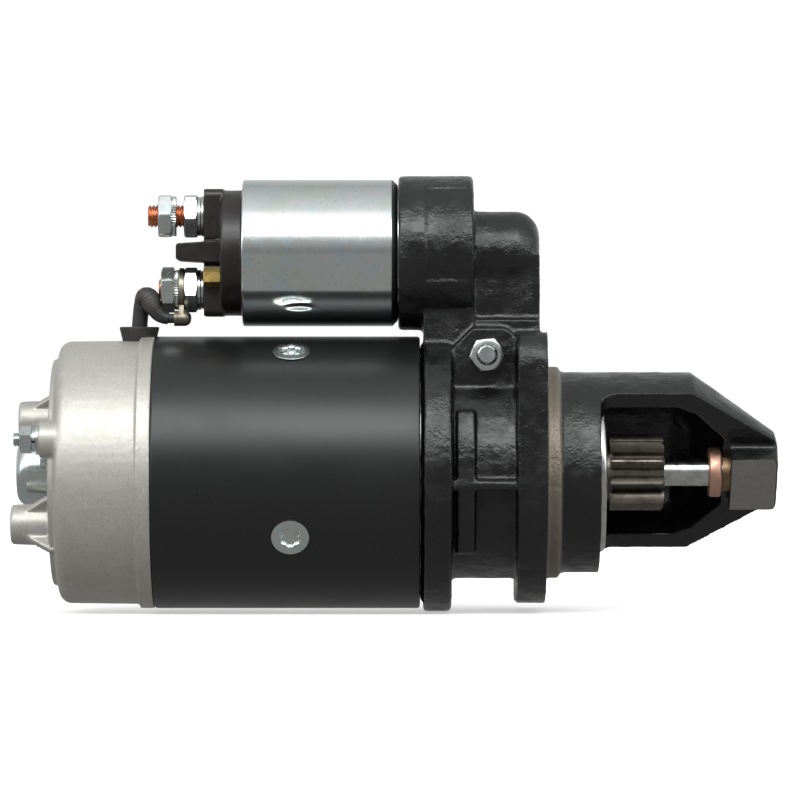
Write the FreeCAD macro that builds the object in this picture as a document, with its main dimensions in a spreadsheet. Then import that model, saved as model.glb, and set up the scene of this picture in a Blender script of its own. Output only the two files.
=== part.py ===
"""Pre-engaged starter motor for a lorry or tractor engine, in millimetres.

The origin is on the shaft's axis, in the plane of the mounting flange's face.
+X runs along the shaft towards the pinion, +Z goes up through the solenoid,
and the nose window opens downwards on the -Y side.

Places along the shaft are called by their X: "back" is the -X end of a piece
and "front" its +X end. Whatever repeats round the shaft is drawn at the top
and turned about X, which takes the top towards -Y.
"""
import FreeCAD, Part
import math
import os
import re

import Sketcher

SIZES = [
    # clearances
    ("fit", 0.1, "between pieces that are fixed to each other"),
    ("running", 0.05, "radial clearance of a bearing or slide"),
    ("free", 0.3, "between pieces that move past each other"),
    # yoke, poles and field coils
    ("yoke_radius", 57, "outside of the yoke tube"),
    ("yoke_wall", 8, ""),
    ("yoke_length", 111, ""),
    ("yoke_edge", 1.3, "rounding of the tube's ends"),
    ("pole_angle", 27.2, "first pole, from the top towards -Y"),
    ("pole_length", 70, ""),
    ("pole_setback", 18.5, "from the yoke's front to the pole shoes"),
    ("pole_core_span", 44, "degrees round the shaft"),
    ("pole_tip_span", 68, "degrees round the shaft"),
    ("pole_tip_thick", 3.4, ""),
    ("pole_screw_radius", 4.9, "M10"),
    ("pole_head_radius", 7.85, "countersunk head"),
    ("pole_head_depth", 3, ""),
    ("yoke_sink", 0.4, "screw heads under the yoke's surface"),
    ("pole_screw_reach", 15, "from the yoke's surface inwards"),
    ("pole_socket_radius", 3.1, "drive recess in the head"),
    ("pole_socket_depth", 2.4, ""),
    ("coil_thick", 8.4, "radial build of a field coil"),
    ("coil_span", 80, "degrees round the shaft"),
    ("coil_width", 10, "winding beyond each end of the pole"),
    # armature
    ("air_gap", 0.6, ""),
    ("slot_count", 25, "armature slots and commutator bars"),
    ("slot_width", 4.2, ""),
    ("slot_depth", 11, ""),
    ("slot_mouth", 2, ""),
    ("tooth_lip", 1.6, "iron over each slot, beside its mouth"),
    ("end_turn_back", 16, "winding behind the core"),
    ("end_turn_front", 11, "winding in front of the core"),
    ("shaft_radius", 10, "in the core"),
    ("journal_radius", 6, "rear end, pinion and nose"),
    ("mid_journal_radius", 9, "in the intermediate bush"),
    ("spline_root", 8.4, ""),
    ("spline_outer", 9.5, ""),
    ("spline_width", 2.6, ""),
    ("spline_count", 6, ""),
    ("shaft_rear_end", 8.5, "journal beyond the end shield's face"),
    ("commutator_radius", 21, ""),
    ("commutator_length", 26, ""),
    ("commutator_hub", 15, "radius under the bars"),
    ("commutator_step", 3, "bars up to the winding"),
    ("bar_gap", 0.8, ""),
    # brush gear
    ("brush_plate_thick", 2, ""),
    ("brush_plate_setback", 11.5, "from the commutator's front"),
    ("brush_plate_hole", 24, "radius round the commutator"),
    ("brush_width", 10, "round the commutator"),
    ("brush_length", 14, "along the commutator"),
    ("brush_box_wall", 1.2, ""),
    ("brush_spring_room", 9, ""),
    ("brush_spring_radius", 3, ""),
    ("brush_spring_wire", 1, "diameter, as for the other springs"),
    # commutator end shield and what is on it
    ("shield_length", 39.9, "from the yoke to the shield's flat face"),
    ("shield_wall", 4.5, "of the end face"),
    ("shield_inset", 1.7, "body radius under the yoke's"),
    ("shield_edge", 5, "rounding of the end"),
    ("rim_length", 6, ""),
    ("register_length", 3, "into the yoke"),
    ("register_wall", 3, ""),
    ("platform_radius", 48, "raised round the bearing"),
    ("platform_height", 2.6, ""),
    ("rear_hub_radius", 14, "round the rear bush"),
    ("rear_hub_length", 12, "inside the shield"),
    ("bush_wall", 2, ""),
    ("rear_boss_radius", 8.6, "two bosses for a rear support"),
    ("rear_boss_length", 16.4, "beyond the platform"),
    ("rear_boss_circle", 32.5, "radius of their centres"),
    ("rear_boss_angle", 131, "from the top towards -Y"),
    ("rear_hole_radius", 3.4, "tapped M8"),
    ("rear_hole_depth", 15, ""),
    ("gusset_foot", 7.5, ""),
    ("gusset_height", 11, ""),
    ("gusset_thick", 3, ""),
    ("cap_cup_radius", 14.3, "bearing cap"),
    ("cap_cup_depth", 13, ""),
    ("cap_cup_edge", 5.5, ""),
    ("cap_sheet", 1.2, ""),
    ("cap_flange_radius", 15.5, ""),
    ("cap_seal_thick", 1.2, ""),
    ("cap_screw_circle", 17.9, ""),
    ("cap_screw_angle", 72, "from the top towards -Y"),
    ("cap_ear_radius", 5, ""),
    ("cap_screw_radius", 2, "M4"),
    ("cap_screw_head", 3.1, ""),
    ("cap_screw_head_height", 2.4, ""),
    ("cap_screw_reach", 9, ""),
    ("clip_radius", 8.6, "retaining ring on the shaft"),
    ("clip_thick", 1.1, ""),
    ("clip_from_end", 2.5, ""),
    ("clip_groove", 1, "depth"),
    # through studs
    ("stud_radius", 3, "M6"),
    ("stud_circle", 46, ""),
    ("stud_angle", 72.2, "from the top towards -Y"),
    ("stud_boss_radius", 7.6, ""),
    ("stud_boss_height", 3.4, "beyond the platform"),
    ("stud_engagement", 7, "in the drive end housing"),
    ("stud_end", 2.6, "beyond its nut"),
    ("stud_nut_flats", 10, ""),
    ("stud_nut_thick", 5, ""),
    ("stud_lock_radius", 5, ""),
    ("stud_lock_thick", 1.7, ""),
    ("stud_washer_radius", 6.2, ""),
    ("stud_washer_thick", 1.2, ""),
    # drive end housing
    ("flange_thick", 12.6, ""),
    ("flange_radius", 55, ""),
    ("flange_corner", 13.5, "radius of its upper corners"),
    ("flange_over_holes", 14, "from the upper holes to the top"),
    ("hole_y", 41.5, "mounting holes, sideways"),
    ("hole_z", 44.5, "mounting holes, up and down"),
    ("hole_radius", 5.5, "M10 bolts"),
    ("ear_radius", 11.5, "round the lower mounting hole"),
    ("spotface_radius", 10.5, ""),
    ("spotface_depth", 0.8, ""),
    ("spigot_radius", 44.5, "pilot in the engine's flywheel housing"),
    ("spigot_length", 5.9, ""),
    ("spigot_chamfer", 0.6, ""),
    ("nose_radius", 42.2, ""),
    ("nose_length", 61, "straight part, from the flange's face"),
    ("nose_cone_length", 35.2, ""),
    ("nose_tip_radius", 17.2, ""),
    ("nose_dome", 1.1, ""),
    ("nose_dome_radius", 13, ""),
    ("nose_wall", 7.8, "straight part"),
    ("nose_seat_radius", 17.8, "end of the inside"),
    ("nose_bush_length", 18.8, ""),
    ("window_back", 22.5, "opening for the flywheel's ring gear"),
    ("window_front", 77, ""),
    ("window_angle", 39, "below the horizontal on the -Y side"),
    ("window_round", 7, ""),
    ("nose_block_half_width", 14, "of the tip beside the window"),
    ("nose_block_height", 9, "of its flat, from the axis"),
    ("neck_radius", 44.7, ""),
    ("neck_wall", 4.7, ""),
    ("neck_length", 26.6, ""),
    ("neck_bore_end", 14.5, "wide part of the bore, behind the flange's face"),
    ("collar_over_yoke", 1.4, "collar radius over the yoke's"),
    ("collar_length", 12, ""),
    ("housing_register", 1.3, "between the yoke and the collar"),
    ("housing_register_inset", 3.5, "register radius under the yoke's"),
    ("rib_radius", 53, "outer ends of the neck's ribs"),
    ("rib_ring_gap", 1.7, "from the collar to the ring rib"),
    ("rib_ring_thick", 7.5, ""),
    ("rib_ring_top", 26, "ring rib, at each side"),
    ("rib_ring_bottom", 33, ""),
    ("side_rib_thick", 4.2, ""),
    ("side_rib_drop", 4.6, "its middle under the shaft's axis"),
    # intermediate bearing
    ("plate_thick", 4, ""),
    ("plate_over_bore", 1, "plate radius over the yoke's bore"),
    ("mid_hub_radius", 15, ""),
    ("mid_bush_length", 8, ""),
    ("mid_bush_wall", 2.5, ""),
    # solenoid seat and lever housing
    ("can_gap", 4.3, "between yoke and solenoid"),
    ("mount_over_can", 1.8, "seat radius over the can's"),
    ("mount_setback", 30, "seat's front, behind the flange's face"),
    ("mount_length", 31.7, ""),
    ("mount_recess", 3, ""),
    ("spring_bore", 17, "radius round the plunger's spring"),
    ("web_half_width", 22, "under the solenoid seat"),
    ("hump_half_width", 14.5, "lever housing"),
    ("hump_radius", 17.6, "over the plunger's end"),
    ("hump_front", 2.3, "behind the flange's face"),
    ("hump_round", 10.5, ""),
    ("hump_wall", 4.6, ""),
    ("ledge_height", 19.5, "foot of the lever housing, over the neck"),
    ("ledge_half_width", 18, ""),
    ("slot_half_width", 8, "inside, round the lever"),
    ("slot_back", 38.5, "behind the flange's face"),
    ("slot_front", 8, "behind the flange's face"),
    ("pad_half_width", 27, "bosses for the pivot bolt"),
    ("pad_back", 38.4, "behind the flange's face"),
    ("pad_front", 13, "behind the flange's face"),
    ("pad_height", 15.8, "over the neck"),
    ("pad_round", 6, ""),
    # shift lever
    ("pivot_setback", 24.8, "behind the flange's face"),
    ("pivot_rise", 4.4, "over the neck"),
    ("pivot_radius", 4, "M8 bolt"),
    ("pivot_flats", 13, ""),
    ("pivot_head", 5.3, ""),
    ("pivot_nut", 6.5, ""),
    ("pivot_end", 1.6, ""),
    ("lever_hub_radius", 8, ""),
    ("lever_thick", 6, ""),
    ("lever_tip_radius", 3.9, "rounded end in the plunger"),
    ("lever_neck", 2.6, "half width under the tip"),
    ("lever_root", 6, "half width at the pivot"),
    ("fork_arm_thick", 4, ""),
    ("fork_arm_half", 4, "half width of an arm"),
    ("fork_bridge_drop", 21, "from the pivot to the fork's bridge"),
    ("fork_bridge_depth", 5, ""),
    ("fork_pad_radius", 3, ""),
    # drive
    ("pinion_rest", 27.1, "back of the pinion's teeth, before the flange's face"),
    ("pinion_length", 22.5, ""),
    ("tooth_count", 10, ""),
    ("tooth_module", 2.5, ""),
    ("tooth_shift", 0.4, "profile shift, in modules"),
    ("pressure_angle", 20, ""),
    ("pinion_chamfer", 1.2, ""),
    ("pinion_neck_radius", 11.5, ""),
    ("race_radius", 14.3, "inner race, on the pinion's tail"),
    ("clutch_gap", 2.1, "between the clutch and the teeth"),
    ("clutch_length", 28, ""),
    ("clutch_edge", 2, ""),
    ("clutch_bore_gap", 1, "between the clutch and the nose"),
    ("clutch_wall_back", 4, ""),
    ("roller_radius", 3.5, ""),
    ("roller_length", 13, ""),
    ("roller_count", 5, ""),
    ("cover_thick", 1.5, ""),
    ("sleeve_radius", 13, ""),
    ("guide_radius", 17, ""),
    ("guide_wall", 2, ""),
    ("mesh_spring_wire", 2.4, ""),
    ("stop_radius", 10.4, "stop ring"),
    ("stop_length", 5.3, ""),
    ("stop_setback", 0.4, "between the stop ring and the nose"),
    ("snap_wire", 1.1, "radius of the ring under it"),
    # solenoid
    ("can_radius", 30.7, ""),
    ("can_length", 65.1, ""),
    ("can_wall", 2.5, ""),
    ("can_edge", 2.3, "rounding of its rear end"),
    ("can_bevel", 2.7, "at its front"),
    ("can_nose_depth", 2.8, "into the seat"),
    ("can_front_wall", 7, ""),
    ("plunger_travel", 15.5, ""),
    ("plunger_radius", 11.9, ""),
    ("plunger_rest_gap", 0.8, "left between plunger and core when pulled in"),
    ("plunger_front", 38, "behind the flange's face"),
    ("plunger_collar_radius", 16, "seat of the return spring"),
    ("plunger_collar_thick", 2, ""),
    ("plunger_rod_radius", 5.5, ""),
    ("plunger_rod_end", 7, "beyond the lever's tip"),
    ("return_spring_wire", 1.3, ""),
    ("core_length", 26, ""),
    ("core_plate_thick", 5, ""),
    ("core_setback", 3.8, "core plate, inside the can's rear end"),
    ("winding_split", 22, "radius between the two windings"),
    ("winding_tube", 1, "wall of the guide tube"),
    ("winding_gap", 4, "at each end"),
    ("contact_travel", 3, ""),
    ("contact_radius", 19.5, ""),
    ("contact_thick", 1.8, ""),
    ("contact_setback", 2.1, "disc front, inside the can's rear end"),
    ("rod_radius", 3, ""),
    ("rod_tail", 2, "behind the disc"),
    # solenoid cap and terminals
    ("cap_radius", 26.3, ""),
    ("cap_length", 8.8, ""),
    ("cap_edge", 1.5, ""),
    ("cap_back_wall", 1.6, ""),
    ("cap_cavity_radius", 22.6, ""),
    ("block_height", 7.2, "terminal blocks, beyond the cap"),
    ("block_half_width", 12, ""),
    ("block_outward", 11.2, "from the stud to the block's outer side"),
    ("block_inward", 11.5, "from the stud to the block's inner side"),
    ("block_round", 3, ""),
    ("barrier_length", 18.9, "insulating wall between the studs"),
    ("barrier_half_width", 14, ""),
    ("barrier_tip", 7, "thickness"),
    ("barrier_root", 9.6, "thickness"),
    ("barrier_height", 0.3, "its middle over the solenoid's axis"),
    ("terminal_spread", 15.45, "stud from the solenoid's axis"),
    ("terminal_radius", 4.8, "M10 stud"),
    ("terminal_head_radius", 7, "fixed contact"),
    ("terminal_flats", 17, ""),
    ("terminal_nut", 5.8, ""),
    ("terminal_washer_radius", 8.4, ""),
    ("terminal_washer", 1.4, ""),
    ("terminal_lock", 1.8, ""),
    ("battery_stud_gap", 5, "room left for the battery cable's ring"),
    ("battery_stud_end", 4.3, "beyond its nut"),
    ("motor_stud_end", 1, "beyond its nut"),
    ("switch_terminal_y", -16.3, ""),
    ("switch_terminal_drop", 10.4, "under the solenoid's axis"),
    ("switch_terminal_radius", 3.6, ""),
    # solenoid screws
    ("mount_screw_spread", 23.5, "sideways from the solenoid's axis"),
    ("mount_screw_radius", 3, "M6"),
    ("mount_screw_head", 6, ""),
    ("mount_screw_depth", 3.2, ""),
    ("mount_screw_socket", 4, "across its flats"),
    ("mount_screw_grip", 3, "into the can"),
    # motor lead
    ("lead_x", 6.7, "behind the yoke's rear end"),
    ("lead_radius", 2, ""),
    ("lead_bow", 5.2, "along the shaft, from the grommet to behind the stud"),
    ("lead_slant", 1.2, "along the shaft, on its way down to the lug"),
    ("lead_rise", 16.2, "loop's top over the yoke"),
    ("sleeve_wall", 0.9, ""),
    ("lug_radius", 9.2, ""),
    ("lug_thick", 2, ""),
    ("lug_drop", 13.3, "from the stud to the cable's barrel"),
    ("lug_turn", 25, "barrel, from under the stud towards -Y"),
    ("barrel_radius", 3.2, ""),
    ("barrel_front", 5.2, "barrel, before the lug's ring"),
    ("barrel_back", 2, "barrel, behind the lug's ring"),
    ("grommet_radius", 8.2, "at its lip"),
    ("grommet_waist", 7.2, ""),
    ("grommet_stem", 5.2, ""),
    ("grommet_lip", 4, "over the shield's rim"),
    ("grommet_inner", 3, "inside the shield"),
]

PLACES = [
    # along the motor, from the flange's face backwards
    ("flange_back", "-flange_thick"),
    ("neck_back", "flange_back - neck_length"),
    ("collar_back", "neck_back - collar_length"),
    ("yoke_front", "collar_back - housing_register"),
    ("yoke_back", "yoke_front - yoke_length"),
    ("rim_back", "yoke_back - rim_length"),
    ("shield_back", "yoke_back - shield_length"),
    ("platform_back", "shield_back - platform_height"),
    ("shield_inside", "shield_back + shield_wall"),
    # round the shaft
    ("yoke_bore", "yoke_radius - yoke_wall"),
    ("coil_outer", "yoke_bore - free"),
    ("coil_inner", "coil_outer - coil_thick"),
    ("tip_outer", "coil_inner - free"),
    ("pole_inner", "tip_outer - pole_tip_thick"),
    ("core_radius", "pole_inner - air_gap"),
    ("pole_front", "yoke_front - pole_setback"),
    ("pole_back", "pole_front - pole_length"),
    ("slot_floor", "core_radius - slot_depth"),
    ("slot_top", "core_radius - tooth_lip"),
    ("shield_radius", "yoke_radius - shield_inset"),
    ("shield_cavity", "yoke_bore - register_wall"),
    # commutator and brush gear
    ("commutator_front", "pole_back - end_turn_back - 1"),
    ("commutator_back", "commutator_front - commutator_length - 1"),
    ("brush_plate_front", "commutator_front - brush_plate_setback"),
    ("brush_plate_back", "brush_plate_front - brush_plate_thick"),
    ("brush_plate_radius", "stud_circle - stud_boss_radius - 2 * fit"),
    ("brush_bottom", "commutator_radius + free"),
    ("box_outer", "yoke_bore - 5.5"),
    ("box_lid", "box_outer - brush_box_wall"),
    ("brush_top", "box_lid - brush_spring_room"),
    # rear end
    ("stud_boss_back", "platform_back - stud_boss_height"),
    ("rear_boss_back", "platform_back - rear_boss_length"),
    ("shaft_back", "shield_back - shaft_rear_end"),
    ("shaft_front", "nose_seat + nose_bush_length - 1"),
    ("clip_front", "shaft_back + clip_from_end + clip_thick"),
    ("cap_seal_back", "platform_back - cap_seal_thick"),
    ("cap_sheet_back", "cap_seal_back - cap_sheet"),
    ("cap_cup_back", "cap_sheet_back - cap_cup_depth"),
    ("stud_washer_back", "stud_boss_back - stud_washer_thick"),
    ("stud_lock_back", "stud_washer_back - stud_lock_thick"),
    ("stud_nut_back", "stud_lock_back - stud_nut_thick"),
    # housing
    ("neck_bore", "neck_radius - neck_wall"),
    ("nose_bore", "nose_radius - nose_wall"),
    ("nose_seat", "nose_length + 13.2"),
    ("nose_cone_front", "nose_length + nose_cone_length"),
    ("plate_radius", "yoke_bore + plate_over_bore"),
    ("plate_front", "yoke_front + plate_thick"),
    ("collar_radius", "yoke_radius + collar_over_yoke"),
    ("flange_top", "hole_z + flange_over_holes"),
    # lever
    ("solenoid_z", "yoke_radius + can_radius + can_gap"),
    ("pivot_x", "-pivot_setback"),
    ("pivot_z", "neck_radius + pivot_rise"),
    ("upper_arm", "solenoid_z - pivot_z"),
    ("lever_tilt", "asin(plunger_travel / 2 / upper_arm)"),
    ("drive_travel", "plunger_travel * pivot_z / upper_arm"),
    ("fork_x", "pivot_x - drive_travel / 2"),
    ("lever_tip_x", "pivot_x + plunger_travel / 2"),
    ("fork_inner", "sleeve_radius + free + fit"),
    ("fork_arm_inner", "guide_radius + free + fit"),
    ("fork_arm_outer", "fork_arm_inner + fork_arm_thick"),
    # drive
    ("pinion_front", "pinion_rest + pinion_length"),
    ("clutch_front", "pinion_rest - clutch_gap"),
    ("clutch_back", "clutch_front - clutch_length"),
    ("clutch_radius", "nose_bore - clutch_bore_gap"),
    ("groove_half", "fork_pad_radius + free"),
    ("guide_front", "fork_x + groove_half + guide_wall"),
    ("guide_back", "fork_x - groove_half - guide_wall"),
    ("sleeve_back", "guide_back - 1"),
    ("roller_circle", "race_radius + free + roller_radius"),
    ("outer_race", "roller_circle + roller_radius + fit"),
    ("stop_front", "nose_seat - stop_setback"),
    ("stop_back", "stop_front - stop_length"),
    ("spline_back", "yoke_front + mid_bush_length"),
    ("spline_front", "clutch_back - 5"),
    # solenoid
    ("mount_front", "-mount_setback"),
    ("mount_back", "mount_front - mount_length"),
    ("mount_radius", "can_radius + mount_over_can"),
    ("can_back", "mount_back - can_length"),
    ("can_bore", "can_radius - can_wall"),
    ("can_nose_radius", "can_radius - can_bevel"),
    ("can_nose_front", "mount_back + can_nose_depth"),
    ("can_inner_front", "mount_back - can_front_wall + can_nose_depth"),
    ("core_plate_front", "can_back + core_setback + core_plate_thick"),
    ("core_front", "can_back + core_setback + core_length"),
    ("plunger_back", "core_front + plunger_rest_gap + plunger_travel"),
    ("contact_front", "can_back + contact_setback"),
    ("contact_back", "contact_front - contact_thick"),
    ("fixed_contact_front", "contact_back - contact_travel - free"),
    ("cap_back", "can_back - cap_length"),
    ("cap_cavity_back", "cap_back + cap_back_wall"),
    ("block_back", "cap_back - block_height"),
    ("battery_z", "solenoid_z + terminal_spread"),
    ("motor_stud_z", "solenoid_z - terminal_spread"),
    ("inner_nut_front", "block_back - 2 * terminal_washer"),
    ("inner_nut_back", "inner_nut_front - terminal_nut"),
    ("lug_back", "inner_nut_back - lug_thick"),
    ("motor_nut_front", "lug_back - terminal_lock"),
    ("motor_nut_back", "motor_nut_front - terminal_nut"),
    ("battery_lock_front", "inner_nut_back - battery_stud_gap + terminal_lock"),
    ("battery_nut_front", "inner_nut_back - battery_stud_gap"),
    ("battery_nut_back", "battery_nut_front - terminal_nut"),
    ("lead_start_x", "yoke_back - lead_x"),
    ("barrel_y", "-lug_drop * sin(lug_turn)"),
    ("barrel_z", "motor_stud_z - lug_drop * cos(lug_turn)"),
]

doc = FreeCAD.newDocument("starter_motor")
dims = doc.addObject("Spreadsheet::Sheet", "dims")
places = doc.addObject("App::VarSet", "places")
scratch = doc.addObject("App::VarSet", "scratch")
size_names = [name for name, size, note in SIZES]
place_names = [name for name, text in PLACES]
nodes = []


def on_sheet(text):
    """An expression in which each size and place says where it is kept."""
    def located(match):
        word = match.group(0)
        if word in size_names:
            return "dims." + word
        if word in place_names:
            return "places." + word
        return word
    return re.sub(r"[a-z][a-z_]+", located, text)


def fill_sheet():
    for row, (name, size, note) in enumerate(SIZES, start=1):
        dims.set("A%d" % row, name)
        dims.set("B%d" % row, str(size))
        dims.set("C%d" % row, note)
        dims.setAlias("B%d" % row, name)
    doc.recompute()


def fill_places():
    for name, text in PLACES:
        places.addProperty("App::PropertyFloat", name)
        places.setExpression(name, on_sheet(text))
    scratch.addProperty("App::PropertyFloat", "answer")
    doc.recompute()


def worth(text):
    """The number that an expression stands for now."""
    scratch.setExpression("answer", on_sheet(text))
    scratch.recompute()
    return scratch.answer


# ---------------------------------------------------------------- tools

def new_name(stem):
    """A free internal name, so that labels stay free for the nodes."""
    return "x_%s_%d" % (stem, len(doc.Objects))


def made(kind, stem, **sizes):
    """A document object with its sizes bound to the sheet."""
    piece = doc.addObject(kind, new_name(stem))
    for prop, text in sizes.items():
        piece.setExpression(prop, on_sheet(text))
    return piece


def put(piece, x="0", y="0", z="0", turn="rotation(vector(1; 0; 0); 0)"):
    place = "placement(vector(%s; %s; %s); %s)" % (x, y, z, turn)
    piece.setExpression("Placement", on_sheet(place))
    return piece


def about_x(angle):
    return "rotation(vector(1; 0; 0); %s)" % angle


def about_y(angle):
    return "rotation(vector(0; 1; 0); %s)" % angle


def rod(back, front, radius, y="0", z="0"):
    """A cylinder along X."""
    piece = made("Part::Cylinder", "rod", Radius=radius, Height="(%s) - (%s)" % (front, back))
    return put(piece, back, y, z, about_y("90"))


def cone(back, front, back_radius, front_radius, y="0", z="0"):
    """A cone along X."""
    piece = made("Part::Cone", "cone", Radius1=back_radius, Radius2=front_radius,
                 Height="(%s) - (%s)" % (front, back))
    return put(piece, back, y, z, about_y("90"))


def post(x, bottom, top, radius, y="0"):
    """A cylinder along Z."""
    piece = made("Part::Cylinder", "post", Radius=radius, Height="(%s) - (%s)" % (top, bottom))
    return put(piece, x, y, bottom)


def pin(x, z, near, far, radius):
    """A cylinder along Y, from near (smaller y) to far."""
    piece = made("Part::Cylinder", "pin", Radius=radius, Height="(%s) - (%s)" % (far, near))
    return put(piece, x, near, z, "rotation(vector(1; 0; 0); -90)")


def block(back, front, near, far, bottom, top):
    piece = made("Part::Box", "block", Length="(%s) - (%s)" % (front, back),
                 Width="(%s) - (%s)" % (far, near), Height="(%s) - (%s)" % (top, bottom))
    return put(piece, back, near, bottom)


def hexagon(back, front, flats, y="0", z="0"):
    """A hexagonal bar along X, with its corners up and down."""
    piece = made("Part::Prism", "hexagon", Circumradius="(%s) / sqrt(3)" % flats,
                 Height="(%s) - (%s)" % (front, back))
    piece.Polygon = 6
    return put(piece, back, y, z, about_y("90"))


def fuse(*pieces):
    piece = doc.addObject("Part::MultiFuse", new_name("fuse"))
    piece.Shapes = list(pieces)
    return piece


def cut(base, *tools):
    piece = doc.addObject("Part::Cut", new_name("cut"))
    piece.Base = base
    piece.Tool = tools[0] if len(tools) == 1 else fuse(*tools)
    return piece


def common(base, tool):
    piece = doc.addObject("Part::MultiCommon", new_name("common"))
    piece.Shapes = [base, tool]
    return piece


def group(*pieces):
    """Separate solids that share one node."""
    piece = doc.addObject("Part::Compound", new_name("group"))
    piece.Links = list(pieces)
    return piece


def copy(source, x="0", y="0", z="0", turn="rotation(vector(1; 0; 0); 0)"):
    piece = doc.addObject("App::Link", new_name("copy"))
    piece.LinkedObject = source
    piece.LinkTransform = True
    return put(piece, x, y, z, turn)


def around(source, count, first="0"):
    """Copies of a piece, evenly spaced round the shaft."""
    turns = ["%s + %d * 360 / (%s)" % (first, i, count) for i in range(round(worth(count)))]
    return [copy(source, turn=about_x(angle)) for angle in turns]


def keep(label, piece):
    """Make the piece one of the object's sub-parts."""
    piece.Label = label
    nodes.append(piece)


def outline_sketch(body, plane, outline):
    """A closed outline on one of a body's planes, with every size bound.

    A corner is (across, up) or (across, up, radius), and a radius rounds it.
    """
    sketch = body.newObject("Sketcher::SketchObject", new_name("outline"))
    support = [feature for feature in body.Origin.OriginFeatures if feature.Role == plane]
    sketch.AttachmentSupport = [(support[0], "")]
    sketch.MapMode = "FlatFace"
    corners = [FreeCAD.Vector(worth(corner[0]), worth(corner[1]), 0) for corner in outline]
    count = len(corners)
    ends = []
    for i, corner in enumerate(outline):
        ends.append([corners[i], corners[i]])
        if len(corner) == 3:
            back = (corners[i - 1] - corners[i]).normalize()
            ahead = (corners[(i + 1) % count] - corners[i]).normalize()
            setback = worth(corner[2]) / math.tan(back.getAngle(ahead) / 2)
            ends[i] = [corners[i] + back * setback, corners[i] + ahead * setback]
    sides = [sketch.addGeometry(Part.LineSegment(ends[i][1], ends[(i + 1) % count][0]), False)
             for i in range(count)]

    def bind(constraint, text):
        index = sketch.addConstraint(constraint)
        sketch.setExpression("Constraints[%d]" % index, on_sheet(text))

    def bind_point(geometry, corner):
        bind(Sketcher.Constraint("DistanceX", -1, 1, geometry, 1, worth(corner[0])), corner[0])
        bind(Sketcher.Constraint("DistanceY", -1, 1, geometry, 1, worth(corner[1])), corner[1])

    for i, corner in enumerate(outline):
        before, after = sides[i - 1], sides[i]
        if len(corner) == 2:
            sketch.addConstraint(Sketcher.Constraint("Coincident", before, 2, after, 1))
            bind_point(after, corner)
            continue
        radius = worth(corner[2])
        first, last = ends[i]
        inward = ((first + last) / 2 - corners[i]).normalize()
        half = (first - corners[i]).getAngle(last - corners[i]) / 2
        middle = corners[i] + inward * (radius / math.sin(half) - radius)
        arc = sketch.addGeometry(Part.Arc(first, middle, last), False)
        start = 1 if (sketch.getPoint(arc, 1) - first).Length < (sketch.getPoint(arc, 2) - first).Length else 2
        tip = sketch.addGeometry(Part.Point(corners[i]), True)
        bind_point(tip, corner)
        sketch.addConstraint(Sketcher.Constraint("Tangent", before, 2, arc, start))
        sketch.addConstraint(Sketcher.Constraint("Tangent", arc, 3 - start, after, 1))
        sketch.addConstraint(Sketcher.Constraint("PointOnObject", tip, 1, before))
        sketch.addConstraint(Sketcher.Constraint("PointOnObject", tip, 1, after))
        bind(Sketcher.Constraint("Radius", arc, radius), corner[2])
    return sketch


def turned(outline, y="0", z="0", span="360"):
    """A lathe-turned body about X. Its outline's corners are (x, radius)."""
    body = doc.addObject("PartDesign::Body", new_name("turned"))
    sketch = outline_sketch(body, "XZ_Plane", outline)
    feature = body.newObject("PartDesign::Revolution", new_name("revolution"))
    feature.Profile = sketch
    feature.ReferenceAxis = (sketch, ["H_Axis"])
    feature.setExpression("Angle", on_sheet(span))
    feature.Midplane = span != "360"
    body.Tip = feature
    return put(body, "0", y, z)


def prism_x(outline, back, front, y="0", z="0"):
    """A straight body along X. Its outline's corners are (y, z)."""
    body = doc.addObject("PartDesign::Body", new_name("prism"))
    feature = body.newObject("PartDesign::Pad", new_name("pad"))
    feature.Profile = outline_sketch(body, "YZ_Plane", outline)
    feature.setExpression("Length", on_sheet("(%s) - (%s)" % (front, back)))
    body.Tip = feature
    return put(body, back, y, z)


def prism_y(outline, width, x="0", y="0", z="0", turn=about_y("0")):
    """A straight body across the middle plane. Its corners are (x, z)."""
    body = doc.addObject("PartDesign::Body", new_name("prism"))
    feature = body.newObject("PartDesign::Pad", new_name("pad"))
    feature.Profile = outline_sketch(body, "XZ_Plane", outline)
    feature.setExpression("Length", on_sheet(width))
    feature.SideType = "Symmetric"
    body.Tip = feature
    return put(body, x, y, z, turn)


def prism_z(outline, height, turn):
    """A straight body either side of the XY plane. Its corners are (x, y)."""
    body = doc.addObject("PartDesign::Body", new_name("prism"))
    feature = body.newObject("PartDesign::Pad", new_name("pad"))
    feature.Profile = outline_sketch(body, "XY_Plane", outline)
    feature.setExpression("Length", on_sheet(height))
    feature.SideType = "Symmetric"
    body.Tip = feature
    return put(body, turn=turn)


def ring(back, front, outer, inner, y="0", z="0"):
    corners = [(back, outer), (front, outer), (front, inner), (back, inner)]
    return turned(corners, y, z)


def ring_place(circle, angle):
    """The y and z of a point on a circle round the shaft."""
    return "-(%s) * sin(%s)" % (circle, angle), "(%s) * cos(%s)" % (circle, angle)


# ---------------------------------------------------------------- yoke and field

def yoke():
    tube = turned([("yoke_back", "yoke_radius", "yoke_edge"), ("yoke_front", "yoke_radius", "yoke_edge"),
                   ("yoke_front", "yoke_bore"), ("yoke_back", "yoke_bore")])
    middle = "(pole_back + pole_front) / 2"
    shank = post(middle, "yoke_bore - 1", "yoke_radius + 1", "pole_screw_radius + fit")
    head = made("Part::Cone", "countersink", Radius1="pole_screw_radius + fit",
                Radius2="pole_head_radius + fit", Height="pole_head_depth")
    put(head, middle, "0", "yoke_radius - pole_head_depth - yoke_sink")
    mouth = post(middle, "yoke_radius - yoke_sink", "yoke_radius + 1", "pole_head_radius + fit")
    keep("yoke", cut(tube, *around(fuse(shank, head, mouth), "4", "pole_angle")))


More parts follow.
